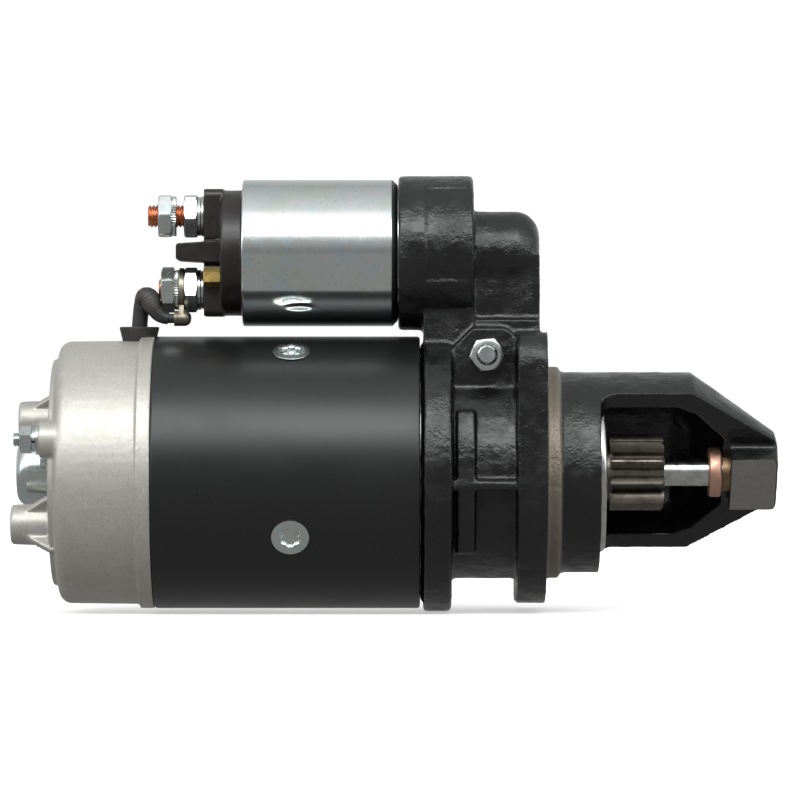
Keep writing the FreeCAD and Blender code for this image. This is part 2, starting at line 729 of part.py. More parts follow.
def pole_shoes():
    core = turned([("pole_back", "yoke_bore"), ("pole_front", "yoke_bore"),
                   ("pole_front", "pole_inner"), ("pole_back", "pole_inner")], span="pole_core_span")
    tips = turned([("pole_back", "tip_outer"), ("pole_front", "tip_outer"),
                   ("pole_front", "pole_inner"), ("pole_back", "pole_inner")], span="pole_tip_span")
    tapped = post("(pole_back + pole_front) / 2", "yoke_radius - pole_screw_reach - fit",
                  "yoke_radius", "pole_screw_radius + fit")
    keep("pole_shoes", group(*around(cut(fuse(core, tips), tapped), "4", "pole_angle")))


def pole_screws():
    middle = "(pole_back + pole_front) / 2"
    surface = "yoke_radius - yoke_sink"
    shank = post(middle, "yoke_radius - pole_screw_reach", surface, "pole_screw_radius")
    head = made("Part::Cone", "head", Radius1="pole_screw_radius", Radius2="pole_head_radius",
                Height="pole_head_depth")
    put(head, middle, "0", "yoke_radius - pole_head_depth - yoke_sink")
    socket = made("Part::Prism", "socket", Circumradius="pole_socket_radius", Height="pole_socket_depth + 1")
    socket.Polygon = 6
    put(socket, middle, "0", surface + " - pole_socket_depth")
    keep("pole_screws", group(*around(cut(fuse(shank, head), socket), "4", "pole_angle")))


def field_coils():
    def sector(reach, outer, inner, span):
        back = "pole_back - (%s)" % reach
        front = "pole_front + (%s)" % reach
        return turned([(back, outer), (front, outer), (front, inner), (back, inner)], span=span)
    whole = sector("coil_width", "coil_outer", "coil_inner", "coil_span")
    window = sector("2 * free", "coil_outer + 1", "coil_inner - 1", "pole_core_span + 2")
    keep("field_coils", group(*around(cut(whole, window), "4", "pole_angle")))


# ---------------------------------------------------------------- armature

def armature_shaft():
    step = "commutator_back - 1"
    groove = "journal_radius - clip_groove"
    snap_middle = "(stop_back + stop_front) / 2"
    blank = turned([
        ("shaft_back", "0"), ("shaft_back", "journal_radius"),
        ("clip_front - clip_thick", "journal_radius"), ("clip_front - clip_thick", groove),
        ("clip_front", groove), ("clip_front", "journal_radius"),
        (step, "journal_radius"), (step, "shaft_radius"),
        ("yoke_front - 1", "shaft_radius"), ("yoke_front - 1", "mid_journal_radius"),
        ("spline_back + 1", "mid_journal_radius"), ("spline_back + 1", "spline_root"),
        ("spline_front", "spline_root"), ("spline_front", "journal_radius"),
        (snap_middle + " - snap_wire", "journal_radius"), (snap_middle + " - snap_wire", groove),
        (snap_middle + " + snap_wire", groove), (snap_middle + " + snap_wire", "journal_radius"),
        ("shaft_front", "journal_radius"), ("shaft_front", "0")])
    rib = block("spline_back + 3", "spline_front - 1", "-spline_width / 2", "spline_width / 2",
                "spline_root - 1", "spline_outer")
    ribs = around(rib, "spline_count")
    keep("armature_shaft", fuse(blank, *ribs))


def armature_core():
    blank = ring("pole_back", "pole_front", "core_radius", "shaft_radius")
    half = "slot_width / 2"
    slot = block("pole_back - 1", "pole_front + 1", "-" + half, half, "slot_floor", "slot_top")
    mouth = block("pole_back - 1", "pole_front + 1", "-slot_mouth / 2", "slot_mouth / 2",
                  "slot_top - 1", "core_radius + 1")
    keep("armature_core", cut(blank, *around(fuse(slot, mouth), "slot_count")))


def armature_winding():
    half = "(slot_width / 2 - fit)"
    bar = block("pole_back - 1", "pole_front + 1", "-" + half, half, "slot_floor + fit", "slot_top - fit")
    bars = around(bar, "slot_count")
    rear = turned([("pole_back - end_turn_back", "commutator_hub + 3"),
                   ("pole_back - end_turn_back", "slot_top - 4"),
                   ("pole_back - end_turn_back + 5", "slot_top - fit"), ("pole_back - fit", "slot_top - fit"),
                   ("pole_back - fit", "shaft_radius + fit"),
                   ("pole_back - end_turn_back + 4", "shaft_radius + fit")])
    front = turned([("pole_front + fit", "shaft_radius + fit"), ("pole_front + fit", "slot_top - fit"),
                    ("pole_front + end_turn_front - 4", "slot_top - fit"),
                    ("pole_front + end_turn_front", "slot_top - 3"),
                    ("pole_front + end_turn_front", "shaft_radius + 4"),
                    ("pole_front + end_turn_front - 4", "shaft_radius + fit")])
    keep("armature_winding", fuse(rear, front, *bars))


def commutator():
    bars = turned([("commutator_back", "commutator_hub"), ("commutator_back", "commutator_radius"),
                   ("commutator_front - 3", "commutator_radius"),
                   ("commutator_front - 3", "commutator_radius + commutator_step"),
                   ("commutator_front", "commutator_radius + commutator_step"),
                   ("commutator_front", "commutator_hub")])
    gap = block("commutator_back - 1", "commutator_front + 1", "-bar_gap / 2", "bar_gap / 2",
                "commutator_hub - 1", "commutator_radius + commutator_step + 1")
    keep("commutator_bars", cut(bars, *around(gap, "slot_count")))
    keep("commutator_hub", ring("commutator_back", "commutator_front", "commutator_hub - fit",
                                "shaft_radius + fit"))


# ---------------------------------------------------------------- brush gear

def brush_gear():
    plate = ring("brush_plate_back", "brush_plate_front", "brush_plate_radius", "brush_plate_hole")
    half = "(brush_width / 2 + fit)"
    box_back = "brush_plate_back - brush_length - 2 * brush_box_wall"
    shell = block(box_back, "brush_plate_back", "-%s - brush_box_wall" % half, half + " + brush_box_wall",
                  "commutator_radius + 1.5", "box_outer")
    room = block(box_back + " + brush_box_wall", "brush_plate_back + 1", "-" + half, half,
                 "commutator_radius", "box_lid")
    channel = block(box_back + " + brush_box_wall", "brush_plate_back", "-" + half, half,
                    "commutator_radius", "box_lid")
    boxes = around(cut(shell, room), "4", "pole_angle")
    keep("brush_holder", cut(fuse(plate, *boxes), *around(channel, "4", "pole_angle")))

    blank = block(box_back + " + brush_box_wall + fit", "brush_plate_back - fit",
                  "-brush_width / 2", "brush_width / 2", "commutator_radius - 2", "brush_top")
    seat = rod("commutator_back - 9", "commutator_front", "brush_bottom")
    keep("brushes", group(*around(cut(blank, seat), "4", "pole_angle")))

    middle = "brush_plate_back - brush_length / 2 - brush_box_wall"
    coil = post(middle, "brush_top + fit", "box_lid - fit", "brush_spring_radius")
    hollow = post(middle, "brush_top", "box_lid", "brush_spring_radius - brush_spring_wire")
    keep("brush_springs", group(*around(cut(coil, hollow), "4", "pole_angle")))


# ---------------------------------------------------------------- commutator end

def boss_gusset(circle, angle, turn):
    """A tapering rib on one side of a rear boss."""
    rib = prism_y([("platform_back + 1", "rear_boss_radius - 1"),
                   ("platform_back + 1", "rear_boss_radius + gusset_foot + 1"),
                   ("platform_back", "rear_boss_radius + gusset_foot"),
                   ("platform_back - gusset_height", "rear_boss_radius - 1")], "gusset_thick")
    y, z = ring_place(circle, angle)
    return copy(rib, "0", y, z, about_x("(%s) + %d" % (angle, turn)))


def end_shield():
    bush_seat = "journal_radius + bush_wall + fit"
    shell = turned([
        ("yoke_back + register_length", "shield_cavity"), ("yoke_back + register_length", "yoke_bore - fit"),
        ("yoke_back", "yoke_bore - fit"), ("yoke_back", "yoke_radius"), ("rim_back", "yoke_radius"),
        ("rim_back", "shield_radius"), ("shield_back", "shield_radius - 0.4", "shield_edge"),
        ("shield_back", "platform_radius"), ("platform_back", "platform_radius - 0.8"),
        ("platform_back", bush_seat), ("shield_inside + rear_hub_length", bush_seat),
        ("shield_inside + rear_hub_length", "rear_hub_radius"), ("shield_inside", "rear_hub_radius"),
        ("shield_inside", "shield_cavity")])
    solids = [shell]
    holes = []
    for side in (0, 180):
        angle = "(rear_boss_angle + %d)" % side
        y, z = ring_place("rear_boss_circle", angle)
        boss = turned([("platform_back + 1", "0"), ("platform_back + 1", "rear_boss_radius + 0.3"),
                       ("rear_boss_back", "rear_boss_radius - 0.3", "1.6"), ("rear_boss_back", "0")], y, z)
        solids.append(boss)
        solids += [boss_gusset("rear_boss_circle", angle, turn) for turn in (0, 90, 180, 270)]
        holes.append(rod("rear_boss_back - 1", "rear_boss_back + rear_hole_depth", "rear_hole_radius", y, z))
        angle = "(stud_angle + %d)" % side
        y, z = ring_place("stud_circle", angle)
        solids.append(rod("stud_boss_back", "yoke_back", "stud_boss_radius", y, z))
        holes.append(rod("stud_boss_back - 1", "yoke_back + register_length + 1", "stud_radius + free", y, z))
        y, z = ring_place("cap_screw_circle", "(cap_screw_angle + %d)" % side)
        holes.append(rod("platform_back - 1", "platform_back + cap_screw_reach", "cap_screw_radius + fit", y, z))
    envelope = rod("stud_boss_back - rear_boss_length", "yoke_back + register_length + 1", "yoke_radius")
    holes.append(post("lead_start_x", "shield_cavity - 5", "yoke_radius + 1", "grommet_stem + fit"))
    keep("commutator_end_shield", cut(common(fuse(*solids), envelope), *holes))


def rear_bearing():
    bush_outer = "journal_radius + bush_wall"
    keep("rear_bush", ring("shield_back", "shield_inside + rear_hub_length", bush_outer,
                           "journal_radius + running"))
    clip = ring("clip_front - clip_thick + fit", "clip_front - fit", "clip_radius",
                "journal_radius - clip_groove + fit")
    gap = block("clip_front - clip_thick", "clip_front", "-2", "2", "0", "clip_radius + 1")
    keep("shaft_retaining_ring", cut(clip, gap))


def bearing_cap():
    def ears(back, front, radius):
        solids = [rod(back, front, radius)]
        for side in (0, 180):
            y, z = ring_place("cap_screw_circle", "(cap_screw_angle + %d)" % side)
            solids.append(rod(back, front, "cap_ear_radius", y, z))
        return solids

    def screw_holes(back, front):
        holes = []
        for side in (0, 180):
            y, z = ring_place("cap_screw_circle", "(cap_screw_angle + %d)" % side)
            holes.append(rod(back, front, "cap_screw_radius + fit", y, z))
        return holes

    cup = turned([("cap_sheet_back", "0"), ("cap_sheet_back", "cap_cup_radius"),
                  ("cap_cup_back", "cap_cup_radius", "cap_cup_edge"), ("cap_cup_back", "0")])
    hollow = turned([("cap_seal_back + 1", "0"), ("cap_seal_back + 1", "cap_cup_radius - cap_sheet"),
                     ("cap_cup_back + cap_sheet", "cap_cup_radius - cap_sheet", "cap_cup_edge - cap_sheet"),
                     ("cap_cup_back + cap_sheet", "0")])
    flange = fuse(cup, *ears("cap_sheet_back", "cap_seal_back", "cap_flange_radius"))
    holes = screw_holes("cap_sheet_back - 1", "cap_seal_back + 1")
    keep("bearing_cap", cut(flange, hollow, *holes))

    seal = fuse(*ears("cap_seal_back", "platform_back", "cap_flange_radius"))
    opening = rod("cap_seal_back - 1", "platform_back + 1", "cap_cup_radius - cap_sheet")
    keep("bearing_cap_seal", cut(seal, opening, *screw_holes("cap_seal_back - 1", "platform_back + 1")))

    screws = []
    for side in (0, 180):
        y, z = ring_place("cap_screw_circle", "(cap_screw_angle + %d)" % side)
        head = turned([("cap_sheet_back - cap_screw_head_height", "0"),
                       ("cap_sheet_back - cap_screw_head_height", "cap_screw_head", "0.4"),
                       ("cap_sheet_back", "cap_screw_head"), ("cap_sheet_back", "cap_screw_radius"),
                       ("platform_back + cap_screw_reach - 1", "cap_screw_radius"),
                       ("platform_back + cap_screw_reach - 1", "0")], y, z)
        slot_y = "(%s)" % y
        slot_z = "(%s)" % z
        slot = block("cap_sheet_back - cap_screw_head_height - 1",
                     "cap_sheet_back - cap_screw_head_height / 2", slot_y + " - 0.5", slot_y + " + 0.5",
                     slot_z + " - cap_screw_head - 1", slot_z + " + cap_screw_head + 1")
        screws.append(cut(head, slot))
    keep("bearing_cap_screws", group(*screws))


def through_studs():
    studs = []
    nuts = []
    locks = []
    washers = []
    for side in (0, 180):
        y, z = ring_place("stud_circle", "(stud_angle + %d)" % side)
        studs.append(rod("stud_nut_back - stud_end", "plate_front + stud_engagement", "stud_radius", y, z))
        nut = hexagon("stud_nut_back", "stud_lock_back", "stud_nut_flats", y, z)
        nuts.append(cut(nut, rod("stud_nut_back - 1", "stud_lock_back + 1", "stud_radius + fit", y, z)))
        locks.append(ring("stud_lock_back", "stud_washer_back", "stud_lock_radius", "stud_radius + free", y, z))
        washers.append(ring("stud_washer_back", "stud_boss_back", "stud_washer_radius",
                            "stud_radius + free", y, z))
    keep("through_studs", group(*studs))
    keep("stud_nuts", group(*nuts))
    keep("stud_lock_washers", group(*locks))
    keep("stud_washers", group(*washers))


# ---------------------------------------------------------------- drive end housing

def turned_casting():
    """Everything of the drive end housing that is round about the shaft."""
    return turned([
        ("yoke_front", "plate_radius + fit"), ("yoke_front", "yoke_radius - housing_register_inset"),
        ("collar_back", "yoke_radius - housing_register_inset"), ("collar_back", "collar_radius", "1"),
        ("neck_back", "collar_radius", "2"), ("neck_back", "neck_radius"), ("flange_back", "neck_radius"),
        ("flange_back", "flange_radius"), ("0", "flange_radius"), ("0", "spigot_radius"),
        ("spigot_length - spigot_chamfer", "spigot_radius"),
        ("spigot_length", "spigot_radius - spigot_chamfer"), ("spigot_length", "nose_radius"),
        ("nose_length", "nose_radius"), ("nose_cone_front", "nose_tip_radius"),
        ("nose_cone_front + nose_dome", "nose_dome_radius"), ("nose_cone_front + nose_dome", "0"),
        ("nose_seat + nose_bush_length", "0"),
        ("nose_seat + nose_bush_length", "journal_radius + bush_wall + fit"),
        ("nose_seat", "journal_radius + bush_wall + fit"), ("nose_seat", "nose_seat_radius"),
        ("nose_length + 1", "nose_bore - 3.4"), ("nose_length - 7", "nose_bore"),
        ("-neck_bore_end", "nose_bore"), ("-neck_bore_end", "neck_bore"),
        ("plate_front", "neck_bore"), ("plate_front", "plate_radius + fit")])


def flange_plate():
    upper = prism_x([("-flange_radius", "0"), ("-flange_radius", "flange_top", "flange_corner"),
                     ("flange_radius", "flange_top", "flange_corner"), ("flange_radius", "0")],
                    "flange_back", "0")
    ear = rod("flange_back", "0", "ear_radius", "hole_y", "-hole_z")
    bridge = prism_x([("0", "-flange_radius"), ("hole_y - ear_radius / 2", "-hole_z - ear_radius * 0.86"),
                      ("hole_y + ear_radius * 0.94", "-hole_z + ear_radius / 3"), ("flange_radius", "0"),
                      ("0", "0")], "flange_back", "0")
    return [upper, ear, bridge]


def solenoid_seat():
    seat = turned([("mount_back", "0"), ("mount_back", "mount_radius", "1.5"),
                   ("mount_front", "mount_radius", "2"), ("mount_front", "0")], z="solenoid_z")
    web = block("collar_back", "mount_front", "-web_half_width", "web_half_width", "neck_bore", "solenoid_z")
    return [seat, web]


def lever_housing():
    over = turned([("mount_front - 1", "0"), ("mount_front - 1", "hump_radius"),
                   ("-hump_front", "hump_radius", "hump_round"), ("-hump_front", "0")], z="solenoid_z")
    front = "-hump_front"
    wall = block("mount_front - 1", front, "-hump_half_width", "hump_half_width", "neck_bore", "solenoid_z")
    ledge = block("mount_front - 1", front, "-ledge_half_width", "ledge_half_width", "neck_bore",
                  "neck_radius + ledge_height")
    pad = prism_y([("-pad_back", "neck_bore - 10"), ("-pad_back", "neck_radius + pad_height - 8"),
                   ("-pad_back + 8", "neck_radius + pad_height"),
                   ("-pad_front", "neck_radius + pad_height", "pad_round"), ("-pad_front", "neck_bore - 10")],
                  "2 * pad_half_width")
    return [over, wall, ledge, pad]


def neck_ribs():
    ring_back = "neck_back + rib_ring_gap"
    hoop = rod(ring_back, ring_back + " + rib_ring_thick", "rib_radius")
    band = block(ring_back, ring_back + " + rib_ring_thick", "-rib_radius", "rib_radius",
                 "-rib_ring_bottom", "rib_ring_top")
    side = block("neck_back", "flange_back", "-rib_radius", "rib_radius",
                 "-side_rib_drop - side_rib_thick / 2", "-side_rib_drop + side_rib_thick / 2")
    return [common(hoop, band), side]


def inside_of_neck():
    """Room for the clutch and the fork, taken out again after the ribs."""
    return turned([("yoke_front - 1", "0"), ("yoke_front - 1", "plate_radius + fit"),
                   ("plate_front", "plate_radius + fit"), ("plate_front", "neck_bore"),
                   ("-neck_bore_end", "neck_bore"), ("-neck_bore_end", "nose_bore"), ("0", "nose_bore"),
                   ("0", "0")])


def lever_room():
    """The slot round the lever, the plunger's bore and the seat's recess."""
    slot = block("-slot_back", "-slot_front", "-slot_half_width", "slot_half_width", "10", "solenoid_z")
    nook = rod("mount_front - 1", "-hump_front - hump_wall", "hump_radius - hump_wall", z="solenoid_z")
    bore = rod("mount_back - 1", "mount_front", "spring_bore", z="solenoid_z")
    recess = rod("mount_back - 1", "mount_back + mount_recess", "can_nose_radius + free", z="solenoid_z")
    pivot = pin("pivot_x", "pivot_z", "-pad_half_width - 1", "pad_half_width + 1", "pivot_radius + fit")
    return [slot, nook, bore, recess, pivot]


def window_cut():
    """The ring gear's window, and the flats of the nose's tip beside it."""
    turn = about_x("window_angle")
    far = "-nose_radius - 20"
    window = prism_z([("window_back", "0", "window_round"), ("window_front", "0"), ("window_front", far),
                      ("window_back", far)], "3 * nose_radius", turn)
    tip_front = "nose_cone_front + nose_dome + 1"
    face = prism_z([("window_front - 1", "-nose_block_height"), (tip_front, "-nose_block_height"),
                    (tip_front, far), ("window_front - 1", far)], "3 * nose_radius", turn)
    cheeks = []
    for side in ("-1", "1"):
        middle = "%s * (nose_block_half_width + nose_radius)" % side
        cheek = block("window_front - 1", tip_front, far, "0",
                      middle + " - nose_radius", middle + " + nose_radius")
        cheeks.append(copy(group(cheek), turn=turn))
    return [window, face] + cheeks


def housing_holes():
    holes = []
    for y, z in (("-hole_y", "hole_z"), ("hole_y", "hole_z"), ("hole_y", "-hole_z")):
        holes.append(rod("flange_back - 1", "1", "hole_radius", y, z))
        holes.append(rod("flange_back - neck_length", "flange_back + spotface_depth", "spotface_radius", y, z))
    for side in (0, 180):
        y, z = ring_place("stud_circle", "(stud_angle + %d)" % side)
        holes.append(rod("plate_front - 1", "plate_front + stud_engagement + 1", "stud_radius + fit", y, z))
    for side in ("-", ""):
        y = side + "mount_screw_spread"
        holes.append(rod("mount_back - 1", "mount_front + 1", "mount_screw_radius + fit", y, "solenoid_z"))
        holes.append(cone("mount_front - mount_screw_depth - fit", "mount_front + fit",
                          "mount_screw_radius + fit", "mount_screw_head + 2 * fit", y, "solenoid_z"))
    return holes


def drive_end_housing():
    neck = [turned_casting()] + solenoid_seat() + lever_housing() + neck_ribs() + flange_plate()
    metal = fuse(*neck)
    tools = [inside_of_neck()] + lever_room() + window_cut() + housing_holes()
    keep("drive_end_housing", cut(metal, *tools))


def drive_end_bearings():
    keep("nose_bush", ring("nose_seat", "nose_seat + nose_bush_length", "journal_radius + bush_wall",
                           "journal_radius + running"))
    hub_front = "yoke_front + mid_bush_length"
    plate = turned([("yoke_front", "mid_journal_radius + mid_bush_wall + fit"), ("yoke_front", "plate_radius"),
                    ("plate_front", "plate_radius"), ("plate_front", "mid_hub_radius"),
                    (hub_front, "mid_hub_radius"), (hub_front, "mid_journal_radius + mid_bush_wall + fit")])
    holes = []
    for side in (0, 180):
        y, z = ring_place("stud_circle", "(stud_angle + %d)" % side)
        holes.append(rod("yoke_front - 1", "plate_front + 1", "stud_radius + free", y, z))
    keep("intermediate_bearing_plate", cut(plate, *holes))
    keep("intermediate_bush", ring("yoke_front", hub_front, "mid_journal_radius + mid_bush_wall",
                                   "mid_journal_radius + running"))


# ---------------------------------------------------------------- shift lever

def shift_lever():
    tip_z = "upper_arm"
    arm = prism_y([("-lever_root", "0"), ("-lever_neck", tip_z + " - 2"), ("lever_neck", tip_z + " - 2"),
                   ("lever_root", "0"), ("3.5", "-fork_bridge_drop - fork_bridge_depth"),
                   ("-3.5", "-fork_bridge_drop - fork_bridge_depth")], "lever_thick")
    tip = pin("0", tip_z, "-lever_thick / 2", "lever_thick / 2", "lever_tip_radius")
    hub = pin("0", "0", "-slot_half_width + 0.5", "slot_half_width - 0.5", "lever_hub_radius")
    bridge = block("-fork_arm_half", "fork_arm_half", "-fork_arm_outer", "fork_arm_outer",
                   "-fork_bridge_drop - fork_bridge_depth", "-fork_bridge_drop")
    solids = [arm, tip, hub, bridge]
    for side in ("-1", "1"):
        middle = "%s * (fork_arm_inner + fork_arm_outer) / 2" % side
        half = "fork_arm_thick / 2"
        solids.append(block("-fork_arm_half", "fork_arm_half", "%s - %s" % (middle, half),
                            "%s + %s" % (middle, half), "-pivot_z", "-fork_bridge_drop - 1"))
        solids.append(pin("0", "-pivot_z", "%s - %s" % (middle, half), "%s + %s" % (middle, half),
                          "fork_arm_half"))
        pad = "%s * (fork_inner + fork_arm_inner + 1) / 2" % side
        half = "(fork_arm_inner + 1 - fork_inner) / 2"
        solids.append(pin("0", "-pivot_z", "%s - %s" % (pad, half), "%s + %s" % (pad, half),
                          "fork_pad_radius"))
    eye = pin("0", "0", "-slot_half_width", "slot_half_width", "pivot_radius + running")
    upright = cut(fuse(*solids), eye)
    keep("shift_lever", group(copy(upright, "pivot_x", "0", "pivot_z", about_y("lever_tilt"))))


def pivot_bolt():
    shank = pin("pivot_x", "pivot_z", "-pad_half_width - pivot_nut - pivot_end", "pad_half_width",
                "pivot_radius")
    head = hexagon("0", "pivot_head", "pivot_flats")
    nut = hexagon("0", "pivot_nut", "pivot_flats")
    to_y = "rotation(vector(0; 0; 1); 90)"
    bolt_head = copy(head, "pivot_x", "pad_half_width", "pivot_z", to_y)
    keep("pivot_bolt", fuse(shank, bolt_head))
    nut_place = copy(nut, "pivot_x", "-pad_half_width - pivot_nut", "pivot_z", to_y)
    thread = pin("pivot_x", "pivot_z", "-pad_half_width - pivot_nut - 1", "-pad_half_width + 1",
                 "pivot_radius + fit")
    keep("pivot_nut", cut(nut_place, thread))


# ---------------------------------------------------------------- drive

def drive_sleeve():
    inner = "spline_root + running"
    blank = turned([("sleeve_back", inner), ("sleeve_back", "sleeve_radius"), ("clutch_back", "sleeve_radius"),
                    ("clutch_back", inner)])
    groove = block("sleeve_back - 1", "clutch_back + 1", "-spline_width / 2 - free", "spline_width / 2 + free",
                   "spline_root - 1", "spline_outer + free")
    keep("drive_sleeve", cut(blank, *around(groove, "spline_count")))
    keep("guide_ring", turned([
        ("guide_back", "sleeve_radius"), ("guide_back", "guide_radius"),
        ("guide_back + guide_wall", "guide_radius"), ("guide_back + guide_wall", "sleeve_radius + free"),
        ("guide_front - guide_wall", "sleeve_radius + free"), ("guide_front - guide_wall", "guide_radius"),
        ("guide_front", "guide_radius"), ("guide_front", "sleeve_radius")]))
    inner = "sleeve_radius + free"
    keep("meshing_spring", ring("guide_front", "clutch_back", inner + " + mesh_spring_wire", inner))


def clutch():
    cavity_back = "clutch_back + clutch_wall_back"
    cavity_front = "clutch_front - cover_thick"
    shell = turned([
        ("clutch_back", "spline_outer + free"), ("clutch_back", "clutch_radius", "clutch_edge"),
        ("clutch_front", "clutch_radius", "clutch_edge"), ("clutch_front", "outer_race + 4"),
        (cavity_front, "outer_race + 4"), (cavity_front, "outer_race"), (cavity_back, "outer_race"),
        (cavity_back, "spline_outer + free")])
    middle = "((%s) + (%s)) / 2" % (cavity_back, cavity_front)
    back = middle + " - roller_length / 2"
    front = middle + " + roller_length / 2"
    keep("clutch_shell", shell)
    roller = rod(back, front, "roller_radius", z="roller_circle")
    keep("clutch_rollers", group(*around(roller, "roller_count")))
    keep("clutch_cover", ring(cavity_front, "clutch_front", "outer_race + 4 - fit",
                              "pinion_neck_radius + 2 * free"))
    return cavity_back, cavity_front


def involute_flank(base, tip, turn):
    """A tooth's flank as a curve from the base circle to the tip circle."""
    steps = 6
    end = math.sqrt((tip / base) ** 2 - 1)
    points = []
    for i in range(steps + 1):
        roll = end * i / steps
        x = base * (math.cos(roll) + roll * math.sin(roll))
        y = base * (math.sin(roll) - roll * math.cos(roll))
        points.append(FreeCAD.Vector(x * math.cos(turn) - y * math.sin(turn),
                                     x * math.sin(turn) + y * math.cos(turn), 0))
    return points


def tooth_face(count, module, shift, pressure):
    """The toothed outline of a gear as a face, with one tooth on the X axis."""
    pitch = count * module / 2
    base = pitch * math.cos(pressure)
    tip = pitch + module * (1 + shift)
    root = pitch - module * (1.25 - shift)
    involute = math.tan(pressure) - pressure
    half_tooth = math.pi / (2 * count) + 2 * shift * math.tan(pressure) / count + involute
    edges = []
    step = 2 * math.pi / count

    def polar(radius, angle):
        return FreeCAD.Vector(radius * math.cos(angle), radius * math.sin(angle), 0)

    for i in range(count):
        middle = i * step
        right = involute_flank(base, tip, middle - half_tooth)
        left = [FreeCAD.Vector(p.x * math.cos(2 * middle) + p.y * math.sin(2 * middle),
                               p.x * math.sin(2 * middle) - p.y * math.cos(2 * middle), 0)
                for p in reversed(right)]
        foot = polar(root, middle - half_tooth)
        far_foot = polar(root, middle + half_tooth)
        next_foot = polar(root, middle + step - half_tooth)
        for points in (right, left):
            curve = Part.BSplineCurve()
            curve.interpolate(points)
            edges.append(curve.toShape())
        edges.append(Part.LineSegment(foot, right[0]).toShape())
        edges.append(Part.Arc(right[-1], polar(tip, middle), left[0]).toShape())
        edges.append(Part.LineSegment(left[-1], far_foot).toShape())
        edges.append(Part.Arc(far_foot, polar(root, middle + step / 2), next_foot).toShape())
    return Part.Face(Part.Wire(Part.sortEdges(edges)[0]))


def pinion(cavity_back, cavity_front):
    gear = doc.addObject("Part::Feature", new_name("teeth"))
    face = tooth_face(round(dims.tooth_count), dims.tooth_module, dims.tooth_shift,
                      math.radians(dims.pressure_angle))
    gear.Shape = face.extrude(FreeCAD.Vector(0, 0, dims.pinion_length))
    put(gear, "pinion_rest", turn="rotation(vector(0; 1; 0); 90)")
    tip = "tooth_module * (tooth_count / 2 + 1 + tooth_shift)"
    trim = turned([("pinion_rest - 1", "0"), ("pinion_rest - 1", tip), ("pinion_front - pinion_chamfer", tip),
                   ("pinion_front", tip + " - pinion_chamfer"), ("pinion_front", "0")])
    tail_back = cavity_back + " + free"
    tail_front = cavity_front + " - free"
    tail = turned([(tail_back, "0"), (tail_back, "race_radius"), (tail_front, "race_radius"),
                   (tail_front, "pinion_neck_radius"), ("pinion_rest + 1", "pinion_neck_radius"),
                   ("pinion_rest + 1", "0")])
    bore = rod(tail_back + " - 1", "pinion_front + 1", "journal_radius + running")
    keep("pinion", cut(fuse(common(gear, trim), tail), bore))


def stop_ring():
    outer = turned([("stop_back", "journal_radius + fit"), ("stop_back", "stop_radius", "1"),
                    ("stop_front", "stop_radius", "1"), ("stop_front", "journal_radius + fit")])
    middle = "(stop_back + stop_front) / 2"
    channel = ring(middle + " - snap_wire - fit", middle + " + snap_wire + fit",
                   "journal_radius - clip_groove + 2 * snap_wire + fit", "journal_radius - 1")
    keep("stop_ring", cut(outer, channel))
    keep("snap_ring", ring(middle + " - snap_wire + fit", middle + " + snap_wire - fit",
                           "journal_radius - clip_groove + 2 * snap_wire", "journal_radius - clip_groove + fit"))


# ---------------------------------------------------------------- solenoid

def solenoid_can():
    tube_seat = "plunger_radius + winding_tube + 2 * fit"
    can = turned([
        ("can_back", "can_bore"), ("can_back", "can_radius", "can_edge"),
        ("mount_back - can_bevel", "can_radius"), ("mount_back", "can_nose_radius"),
        ("can_nose_front", "can_nose_radius"), ("can_nose_front", tube_seat),
        ("can_inner_front", tube_seat), ("can_inner_front", "can_bore")], z="solenoid_z")
    tapped = [rod("mount_back - mount_screw_grip - 0.5", "can_nose_front + 1", "mount_screw_radius + fit",
                  side + "mount_screw_spread", "solenoid_z") for side in ("-", "")]
    keep("solenoid_can", cut(can, *tapped))


def solenoid_core():
    hole = "rod_radius + running"
    keep("solenoid_core", turned([
        ("can_back + core_setback", hole), ("can_back + core_setback", "can_bore - fit"),
        ("core_plate_front", "can_bore - fit"), ("core_plate_front", "plunger_radius"),
        ("core_front", "plunger_radius"), ("core_front", hole)], z="solenoid_z"))


def windings():
    tube_inner = "plunger_radius + running"
    tube_outer = "plunger_radius + winding_tube"
    keep("plunger_guide_tube", ring("core_plate_front + fit", "can_nose_front", tube_outer, tube_inner,
                                    z="solenoid_z"))
    back = "core_plate_front + winding_gap"
    front = "can_inner_front - winding_gap"
    keep("pull_in_winding", ring(back, front, "winding_split - fit", tube_outer + " + fit", z="solenoid_z"))
    keep("hold_in_winding", ring(back, front, "can_bore - 1.2", "winding_split + fit", z="solenoid_z"))


def plunger():
    collar_back = "-plunger_front"
    collar_front = "-plunger_front + plunger_collar_thick"
    rod_front = "lever_tip_x + plunger_rod_end"
    blank = turned([
        ("plunger_back", "0"), ("plunger_back", "plunger_radius", "0.8"), (collar_back, "plunger_radius"),
        (collar_back, "plunger_collar_radius"), (collar_front, "plunger_collar_radius"),
        (collar_front, "plunger_rod_radius"), (rod_front, "plunger_rod_radius", "1"), (rod_front, "0")],
        z="solenoid_z")
    reach = "lever_tip_radius + free"
    notch = block("lever_tip_x - (%s)" % reach, "lever_tip_x + (%s)" % reach,
                  "-lever_thick / 2 - free", "lever_thick / 2 + free",
                  "solenoid_z - plunger_rod_radius - 1", "solenoid_z + lever_tip_radius + 2 * free")
    keep("plunger", cut(blank, notch))
    inner = "(plunger_radius + spring_bore - return_spring_wire) / 2"
    keep("plunger_return_spring", ring("can_nose_front + free", collar_back, inner + " + return_spring_wire",
                                       inner, z="solenoid_z"))


